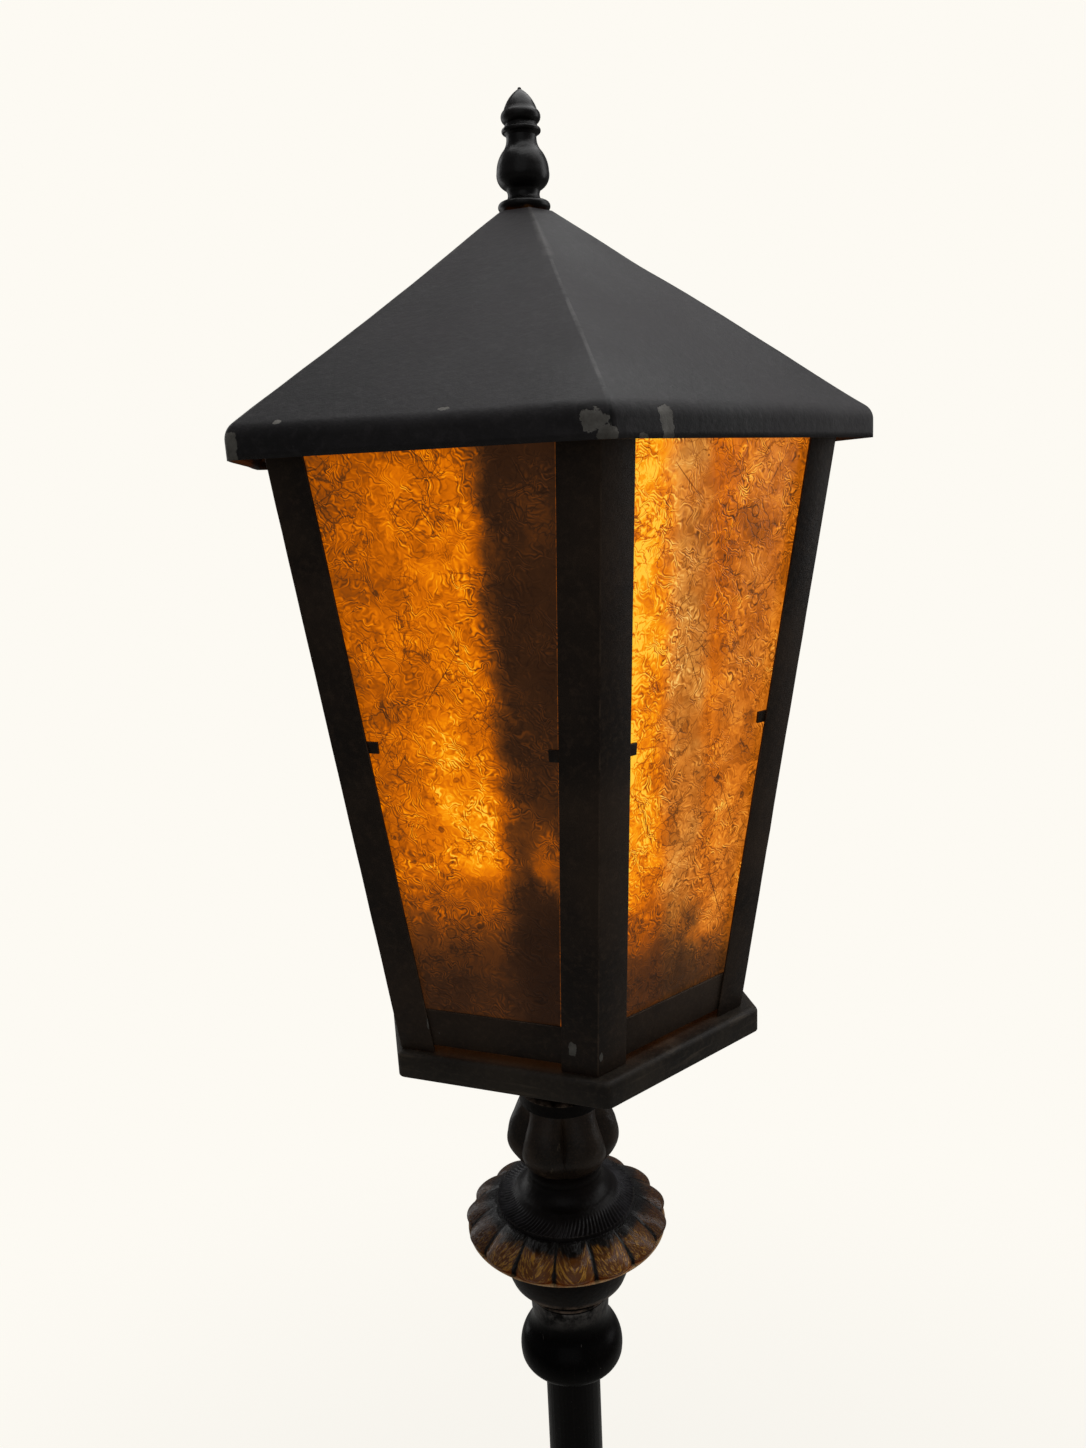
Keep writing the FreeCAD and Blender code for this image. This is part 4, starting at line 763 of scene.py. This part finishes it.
# Each pane's painted light and shade: a level, pools of light, stripes of shade, grey bands and a dark foot.
PANES = {
    5: dict(level=0.42, pools=[(0.000, 0.165, 0.044, 0.190, 0.26), (0.004, 0.112, 0.020, 0.040, 0.15),
                               (-0.004, 0.235, 0.030, 0.050, 0.05)],
            shades=[(0.0155, 0.0195, 0.013, RIGHT_OF, 0.24)], grey_bands=[],
            foot=(0.082, 0.42, 0.036, 0.29),
            late_pools=[(0.036, 0.105, 0.011, 0.014, 0.42), (0.042, 0.262, 0.010, 0.030, 0.07),
                        (0.034, 0.140, 0.016, 0.030, 0.06)]),
    6: dict(level=0.62, pools=[(-0.045, 0.170, 0.022, 0.160, 0.40), (0.020, 0.060, 0.008, 0.014, 0.25),
                               (0.020, 0.110, 0.030, 0.050, 0.08)],
            shades=[(0.006, -0.019, 0.016, False, 0.97)],
            grey_bands=[(0.006, -0.019, 0.018, False, 0.75), (0.034, 0.034, 0.034, False, 0.35)],
            foot=(0.060, -0.35, 0.030, 0.32), leak_side=-1),
    1: dict(level=0.52, pools=[(0.0, 0.150, 0.045, 0.070, 0.30)],
            shades=[(-0.020, -0.028, 0.014, False, 0.5)], grey_bands=[], foot=(0.076, 0.3, 0.034, 0.28)),
    2: dict(level=0.52, pools=[(-0.012, 0.160, 0.030, 0.060, 0.30), (0.030, 0.200, 0.030, 0.050, 0.14)],
            shades=[(0.012, 0.008, 0.012, False, 0.45)], grey_bands=[], foot=(0.080, -0.4, 0.034, 0.28),
            leak_side=-1),
    3: dict(level=0.52, pools=[(0.010, 0.150, 0.034, 0.070, 0.32)],
            shades=[(-0.030, -0.034, 0.016, False, 0.4)],
            grey_bands=[(0.020, 0.024, 0.014, False, 0.5)], foot=(0.072, 0.5, 0.034, 0.28)),
    4: dict(level=0.52, pools=[(0.0, 0.155, 0.050, 0.070, 0.32)],
            shades=[(0.026, 0.030, 0.014, False, 0.5)], grey_bands=[], foot=(0.078, -0.2, 0.034, 0.28),
            leak_side=-1),
}
for side, recipe in PANES.items():
    sheet = settle(pane(side), "pane_%d" % side, "shade", "mica", mica_finish(side, **recipe),
                   "mica_panel_%d" % side, crease=60.0)
    wall = sheet.modifiers.new("thickness", "SOLIDIFY")
    wall.thickness = (PANE_THICKNESS - PANE_RELIEF) * MM
    wall.offset = -1.0

# %% [markdown]
# ## The roof
# One sheet of iron, cut and folded into six slopes, rolled over at the eave and turned down into a
# narrow skirt. The sheet starts as a ring round the crown and is drawn down ring by ring, each one a
# hexagon whose corners get rounder towards the eave. Sheet that is folded by hand has a slight wave,
# so each point is then pushed in by up to a millimetre.

# %% Make the roof
CROWN_RADIUS, SKIRT, ROLL_RADIUS, ROOF_INSET = 14.0, 12.0, 9.0, 0.3
CORNER_STEPS, SIDE_STEPS = 6, 20


def rounded_hexagon(apothem, corner_round):
    """Points round a hexagon whose corners, at 0, 60 ... degrees, are arcs."""
    points = []
    centre = (apothem - corner_round) / math.cos(math.pi / SIDES)
    for corner in range(SIDES):
        heading = corner * math.tau / SIDES
        middle = Vector((math.cos(heading), math.sin(heading))) * centre
        for step in range(CORNER_STEPS + 1):
            angle = heading + (step / CORNER_STEPS - 0.5) * math.tau / SIDES
            points.append(middle + Vector((math.cos(angle), math.sin(angle))) * corner_round)
        turn_next = heading + math.tau / SIDES
        start = points[-1]
        end = Vector((math.cos(turn_next), math.sin(turn_next))) * centre
        end += Vector((math.cos(turn_next - math.pi / SIDES), math.sin(turn_next - math.pi / SIDES))) * corner_round
        points += [start.lerp(end, step / SIDE_STEPS) for step in range(1, SIDE_STEPS)]
    return points


def roof_profile():
    """(apothem, height, corner round) from the crown down the slope, over the roll and down the skirt."""
    cosine = math.cos(math.pi / SIDES)
    eave = Vector((ROOF_HIGH.x / MM * cosine - ROOF_INSET, ROOF_LOW.z / MM + SKIRT))
    crown = Vector((CROWN_RADIUS * cosine, ROOF_HIGH.z / MM))
    slope = (crown - eave).normalized()
    fall = math.atan2(slope.y, -slope.x)
    reach = ROLL_RADIUS * math.tan((math.pi / 2 - fall) / 2)
    start = eave + slope * reach
    centre = eave - Vector((ROLL_RADIUS, reach))
    rings = [(*crown.lerp(start, step / 34), 1.2 + 2.0 * step / 34) for step in range(35)]
    for step in range(1, 9):
        angle = (math.pi / 2 - fall) * (1 - step / 8)
        spot = centre + Vector((math.cos(angle), math.sin(angle))) * ROLL_RADIUS
        rings.append((*spot, 3.2 + 2.3 * step / 8))
    foot = ROOF_LOW.z / MM
    rings += [(eave.x, rings[-1][1] + (foot - rings[-1][1]) * step / 3, 5.5) for step in range(1, 4)]
    return rings


def roof_sheet():
    rings = roof_profile()
    mesh = bmesh.new()
    first = [mesh.verts.new((x * MM, y * MM, rings[0][1] * MM)) for x, y in rounded_hexagon(rings[0][0], rings[0][2])]
    loop = [mesh.edges.new((a, b)) for a, b in zip(first, first[1:] + first[:1])]
    order = first
    for apothem, height, corner_round in rings[1:]:
        drawn = bmesh.ops.extrude_edge_only(mesh, edges=loop)["geom"]
        fresh = [part for part in drawn if isinstance(part, bmesh.types.BMVert)]
        mesh.verts.index_update()
        below = {}
        for vert in fresh:
            for edge in vert.link_edges:
                other = edge.other_vert(vert)
                if other in order_set(order):
                    below[other] = vert
        order = [below[vert] for vert in order]
        for vert, (x, y) in zip(order, rounded_hexagon(apothem, corner_round)):
            vert.co = Vector((x * MM, y * MM, height * MM))
        loop = [mesh.edges.get(pair) for pair in zip(order, order[1:] + order[:1])]
    return mesh


def order_set(order):
    return set(order)


roof_mesh = roof_sheet()
bmesh.ops.recalc_face_normals(roof_mesh, faces=roof_mesh.faces)
rub_and_highlight = roof_mesh.verts.layers.float.new("rub_and_highlight")
for vert in roof_mesh.verts:
    from_corner = math.degrees(math.atan2(vert.co.y, vert.co.x)) % 60
    away = math.radians(min(from_corner, 60 - from_corner)) * math.hypot(vert.co.x, vert.co.y)
    vert[rub_and_highlight] = 0.75 if away < 0.9 * MM and vert.co.z > ROOF_LOW.z + 0.016 else 0.0
    down = min(1.0, (ROOF_HIGH.z - vert.co.z) / 0.03)
    dent = noise.noise(vert.co * 17.0) * 0.9 + noise.noise(vert.co * 46.0 + Vector((5, 2, 8))) * 0.35
    vert.co -= vert.normal * max(0.0, dent + 0.35) * down * MM
roof = settle(roof_mesh, "roof_sheet", "shade", "roof_iron", roof_paint, "roof", crease=50.0)
wall = roof.modifiers.new("thickness", "SOLIDIFY")
wall.thickness = 1.2 * MM
wall.offset = -1.0

# %% [markdown]
# ## The stem
# Below the tray the stem is a stack of short pieces on a hidden pipe: a neck, a knuckle like a closed
# bud, a flared foot with a feathered band, a gadrooned collar, a cup and a ball. The round ones are
# spun; the bud and the collar are spun too and then swell into lobes.

# %% Turned pieces of the stem
# The rings listed last on the ball and the cup are painted highlight lines.
turned_piece("ball", "stem_ball", [
    (20.5, 0, 0), (21.1, 1.2, 0), (24.5, 2.6, 0.18), (29.9, 8.5, 0.09), (26.6, 22.5, -0.09),
    (22.3, 34.5, 0), (23.2, 47.5, 0)], "pole_black", pole_paint, bore=16.05, steps=10,
    wear_and_highlight=[(0.9, 1.5), (46.9, 47.6)])
turned_piece("cup", "stem_cup", [
    (22.8, 0, 0), (22.8, 1.0, 0.5), (22.8, 4.0, 0), (22.8, 5.5, -0.18), (27.0, 7.5, 0),
    (33.4, 12.5, 0.09), (35.0, 45.5, 0)], "cup_black", stem_paint, steps=10, wear_and_highlight=[(2.0, 3.0)])
turned_piece("tray_neck", "tray_spacer", [
    (23.7, 0, 0), (23.7, 7.0, -0.18), (14.0, 32.0, -0.18), (40.0, 62.5, 0), (40.0, 66.5, 0)],
    "neck_black", stem_paint, steps=10)
turned_piece("knob_turning", "finial", [
    (10.6, 0, 0), (11.6, 1.2, 0.3), (11.0, 4.8, 0), (8.4, 5.6, -0.18), (8.4, 10.5, 0.18),
    (12.35, 18.2, 0.09), (8.7, 27.4, -0.09), (7.1, 33.4, 0), (8.0, 34.5, 0.5), (8.0, 36.9, 0),
    (7.4, 38.8, 0.3), (7.9, 44.3, 0.09), (0.8, 53.5, 0.3), (0.2, 54.3, 0)],
    "finial_black", finial_paint, body="finial_knob", bore=0.0)

# %% [markdown]
# The flared foot's band is cut with short slanting feathers. Each is a shallow ripple that leans as
# it goes outward, and no two are quite alike.

# %% The flared foot with its feathered band
FEATHERS, BAND_START, BAND_END, FEATHER_DEPTH = 96, 29.0, 39.4, 0.3
neck_low = level_of("stem_neck")
neck_outline = bowed([(39.4, 0, 0), (39.4, 2.6, -0.09), (27.0, 8.0, -0.18), (21.0, 19.0, -0.09),
                      (22.6, 26.0, 0)], steps=16)
neck_mesh = spun([(5.25, 0)] + neck_outline + [(5.25, 26.0)], neck_low, FEATHERS * 6)
for vert in neck_mesh.verts:
    radius = math.hypot(vert.co.x, vert.co.y) / MM
    if radius > BAND_START and vert.co.z > neck_low + 1.5 * MM:
        share = min(1.0, (radius - BAND_START) / 2.0)
        lean = radius * 1.1 + 3.0 * noise.noise(vert.co * 90)
        ripple = math.sin(math.atan2(vert.co.y, vert.co.x) * FEATHERS + lean)
        vert.co.z += ((ripple - 1) * FEATHER_DEPTH - 0.25 * abs(noise.noise(vert.co * 300))) * share * MM
        if radius > BAND_END - 2.0:
            vert.co.xy *= 1 + (ripple - 1) * 0.005
mark_edges(neck_mesh)
settle(neck_mesh, "flared_foot", "stand", "neck_black", foot_paint, "stem_neck", crease=60.0)

# %% The bud and the gadrooned collar


def rough_carving(mesh, depth):
    """Pushes the surface in unevenly, as a carver's or caster's hand leaves it."""
    mesh.normal_update()
    for vert in mesh.verts:
        vert.co -= vert.normal * abs(noise.noise(vert.co * 70.0)) * depth * MM


bud_line = smooth_line([(0, 21.8, 22.8), (6, 25.2, 28.6), (13, 26.2, 31.5), (22, 23.4, 30.2),
                        (31, 20.6, 26.6), (38, 20.8, 23.4)])
bud = carved(bud_line, level_of("lobed_knuckle"), 6, 144, first_lobe=20.0)
rough_carving(bud, 0.5)
settle(bud, "bud", "stand", "knuckle_black", bud_paint, "lobed_knuckle", crease=60.0)

LIP = [(0.0, 35.2, 35.2), (0.0, 56.0, 56.0), (0.4, 56.6, 56.6), (1.0, 56.6, 56.6)]
lobe_line = smooth_line([(1.2, 54.2, 56.3), (4.0, 53.4, 57.6), (8.5, 48.8, 53.4), (11.8, 44.2, 47.6),
                         (14.5, 39.6, 41.0)], 9)
collar = carved(LIP + lobe_line, level_of("gadroon_collar"), 15, 330, first_lobe=5.6)
bmesh.ops.recalc_face_normals(collar, faces=collar.faces)
rub_and_highlight = collar.verts.layers.float.new("rub_and_highlight")
lip_low = level_of("gadroon_collar")
for vert in collar.verts:
    on_lip = 0.2 * MM < vert.co.z - lip_low < 1.1 * MM and math.hypot(vert.co.x, vert.co.y) > 56.2 * MM
    vert[rub_and_highlight] = 1.0 if on_lip else 0.0
settle(collar, "collar_lobes", "stand", "gadroon_paint", gadroon_paint, "gadroon_collar", crease=50.0)

# %% [markdown]
# ## The pieces that a photograph hardly shows
# The base, the pole and the fittings inside the lantern are true to the CAD. They get a smooth
# surface, rubbed edges and the finish that such pieces have: cast iron under paint, plated steel,
# tarnished brass, porcelain and felt.

# %% Base, pole and fittings
for node, name, slot, finish in (
        ("base_casting", "base_dome", "base_iron", base_paint), ("felt_pad", "pad", "felt", felt),
        ("base_weight", "weight", "weight_iron", iron), ("base_washer", "foot_washer", "plated_steel", steel),
        ("base_nut", "foot_nut", "plated_steel", steel), ("cord_bushing", "inlet", "bushing", bushing),
        ("pole_tube", "pole", "pole_black", pole_paint), ("through_pipe", "pipe", "plated_steel", steel),
        ("tray_washer", "pan_washer", "plated_steel", steel), ("cluster_body", "cluster", "cluster_brass", brass),
        ("rod_nut", "rod_lock_nut", "plated_steel", steel), ("riser_rod", "rod", "plated_steel", steel)):
    rounded(node, name, "stand", slot, finish)
rounded("roof_washer", "crown_washer", "shade", "plated_steel", steel)
rounded("finial_insert", "insert", "finial_thread", "insert_brass", brass)
for number in (1, 2):
    rounded("socket_cap_%d" % number, "holder_cap_%d" % number, "stand", "socket_brass", brass)
    rounded("socket_shell_%d" % number, "holder_shell_%d" % number, "stand", "socket_brass", brass)
    rounded("socket_core_%d" % number, "holder_core_%d" % number, "stand", "porcelain", porcelain)

# %% [markdown]
# ## Bulbs
# A screw cap is thin brass rolled into a round thread, and the envelope above it is frosted glass. The
# glass glows most at its middle, where the filament hangs.

# %% Bulbs


def frosted_glow():
    made, tree, shader, place = new_finish("frosted_bulb", 0.25, 0.5)
    belly = soften(tree, place_height(tree, place), TRAY_HIGH.z + 0.10, TRAY_HIGH.z + 0.16)
    frost = cloud(tree, place, 500.0, 3.0)
    glow = calc(tree, "MULTIPLY_ADD", frost, 0.2, times(tree, belly, 0.8))
    colour = ramp(tree, glow, [(0.0, (0.75, 0.34, 0.10)), (0.5, (1.0, 0.62, 0.27)), (1.0, (1.0, 0.83, 0.52))])
    tree.links.new(colour, shader.inputs["Emission Color"])
    shader.inputs["Emission Strength"].default_value = 1.0
    tree.links.new(blend(tree, frost, (0.70, 0.66, 0.60, 1), (0.85, 0.82, 0.78, 1)), shader.inputs["Base Color"])
    bump(tree, shader, frost, 0.05 * MM)
    return made


def shift_mesh(made, step):
    made.data.transform(Matrix.Translation(step))


glass = frosted_glow()
for number, side in ((1, -1), (2, 1)):
    low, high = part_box("bulb_base_%d" % number)
    centre = Vector(((low.x + high.x) / 2, (low.y + high.y) / 2, 0))
    thread = [(4.3, 0, 0.3), (6.5, 1.5, 0), (12.2, 4.5, 0)]
    thread += [(12.2, 5.5 + 3.3 * turn_number, 0.25) for turn_number in range(5)]
    thread += [(12.2, 22.0, 0), (13.0, 23.0, 0), (13.0, 25.0, 0)]
    cap = turned_piece("screw_cap_%d" % number, "bulb_base_%d" % number, thread, "bulb_cap", steel,
                       body="bulb_%d" % number, bore=0.0, turns=64)
    shift_mesh(cap, centre)
    envelope = turned_piece("envelope_%d" % number, "bulb_glass_%d" % number, [
        (14.0, 0, 0), (15.0, 13.0, -0.09), (29.0, 45.5, 0.09), (30.0, 52.0, 0.3), (1.0, 84.0, 0)],
        "bulb_glass", glass, body="bulb_%d" % number, bore=0.0, turns=72, steps=14)
    shift_mesh(envelope, centre)

# %% [markdown]
# ## Floor, light and background
# The lamp stands in plain soft light from above, with a little more from the right and from behind,
# in front of a cream background. The background's own colour makes it pale, so the dark paint isn't
# washed out, and the floor near the lamp still takes its shadow.

# %% Stage
CREAM = (0.982, 0.956, 0.896, 1)


def seen_directly(tree):
    """1 for rays from the camera, and for those that a glass sends on."""
    rays = add(tree, "LightPath").outputs
    return calc(tree, "MAXIMUM", rays["Is Camera Ray"], rays["Is Transmission Ray"])


world = bpy.data.worlds.new("studio")
bpy.context.scene.world = world
world.use_nodes = True
tree = world.node_tree
sky = tree.nodes["Background"]
tree.links.new(blend(tree, seen_directly(tree), (0.115, 0.115, 0.12, 1), CREAM), sky.inputs["Color"])
sky.inputs["Strength"].default_value = 1.0

floor_mesh = bmesh.new()
bmesh.ops.create_grid(floor_mesh, x_segments=1, y_segments=1, size=30.0)
floor_data = bpy.data.meshes.new("floor")
floor_mesh.to_mesh(floor_data)
floor_mesh.free()
floor = bpy.data.objects.new("floor", floor_data)
bpy.context.scene.collection.objects.link(floor)
floor_finish = bpy.data.materials.new("floor")
floor_finish.use_nodes = True
tree = floor_finish.node_tree
tree.nodes.remove(tree.nodes["Principled BSDF"])
plain = add(tree, "BsdfDiffuse", {"Color": (0.5, 0.49, 0.46, 1)})
lit = add(tree, "Emission", {"Color": CREAM, "Strength": 1.0})
ground = add(tree, "TexCoord").outputs["Object"]
distance = add(tree, "VectorMath", {0: ground}, operation="LENGTH").outputs["Value"]
share = times(tree, seen_directly(tree), soften(tree, distance, 0.4, 1.8, 0.90, 1.0))
both = add(tree, "MixShader", {0: share, 1: plain.outputs[0], 2: lit.outputs[0]})
tree.links.new(both.outputs[0], tree.nodes["Material Output"].inputs["Surface"])
floor_data.materials.append(floor_finish)


def lamp(name, place, aim, size, power):
    data = bpy.data.lights.new(name, "AREA")
    data.shape = "RECTANGLE"
    data.size, data.size_y = size
    data.energy = power
    made = bpy.data.objects.new(name, data)
    bpy.context.scene.collection.objects.link(made)
    made.location = place
    made.rotation_euler = (Vector(aim) - Vector(place)).to_track_quat("-Z", "Y").to_euler()


lamp("overhead", (0.3, 0.3, 3.4), (0, 0, 1.4), (2.4, 2.4), 38)
lamp("right", (1.5, 1.1, 2.0), (0, 0, 1.3), (0.9, 2.0), 9)
lamp("left", (-1.5, 0.7, 1.6), (0, 0, 1.2), (0.7, 2.0), 5)
lamp("front", (0.5, -2.2, 2.4), (0, 0, 1.3), (2.2, 2.2), 4)
bpy.context.scene.view_settings.view_transform = "Standard"
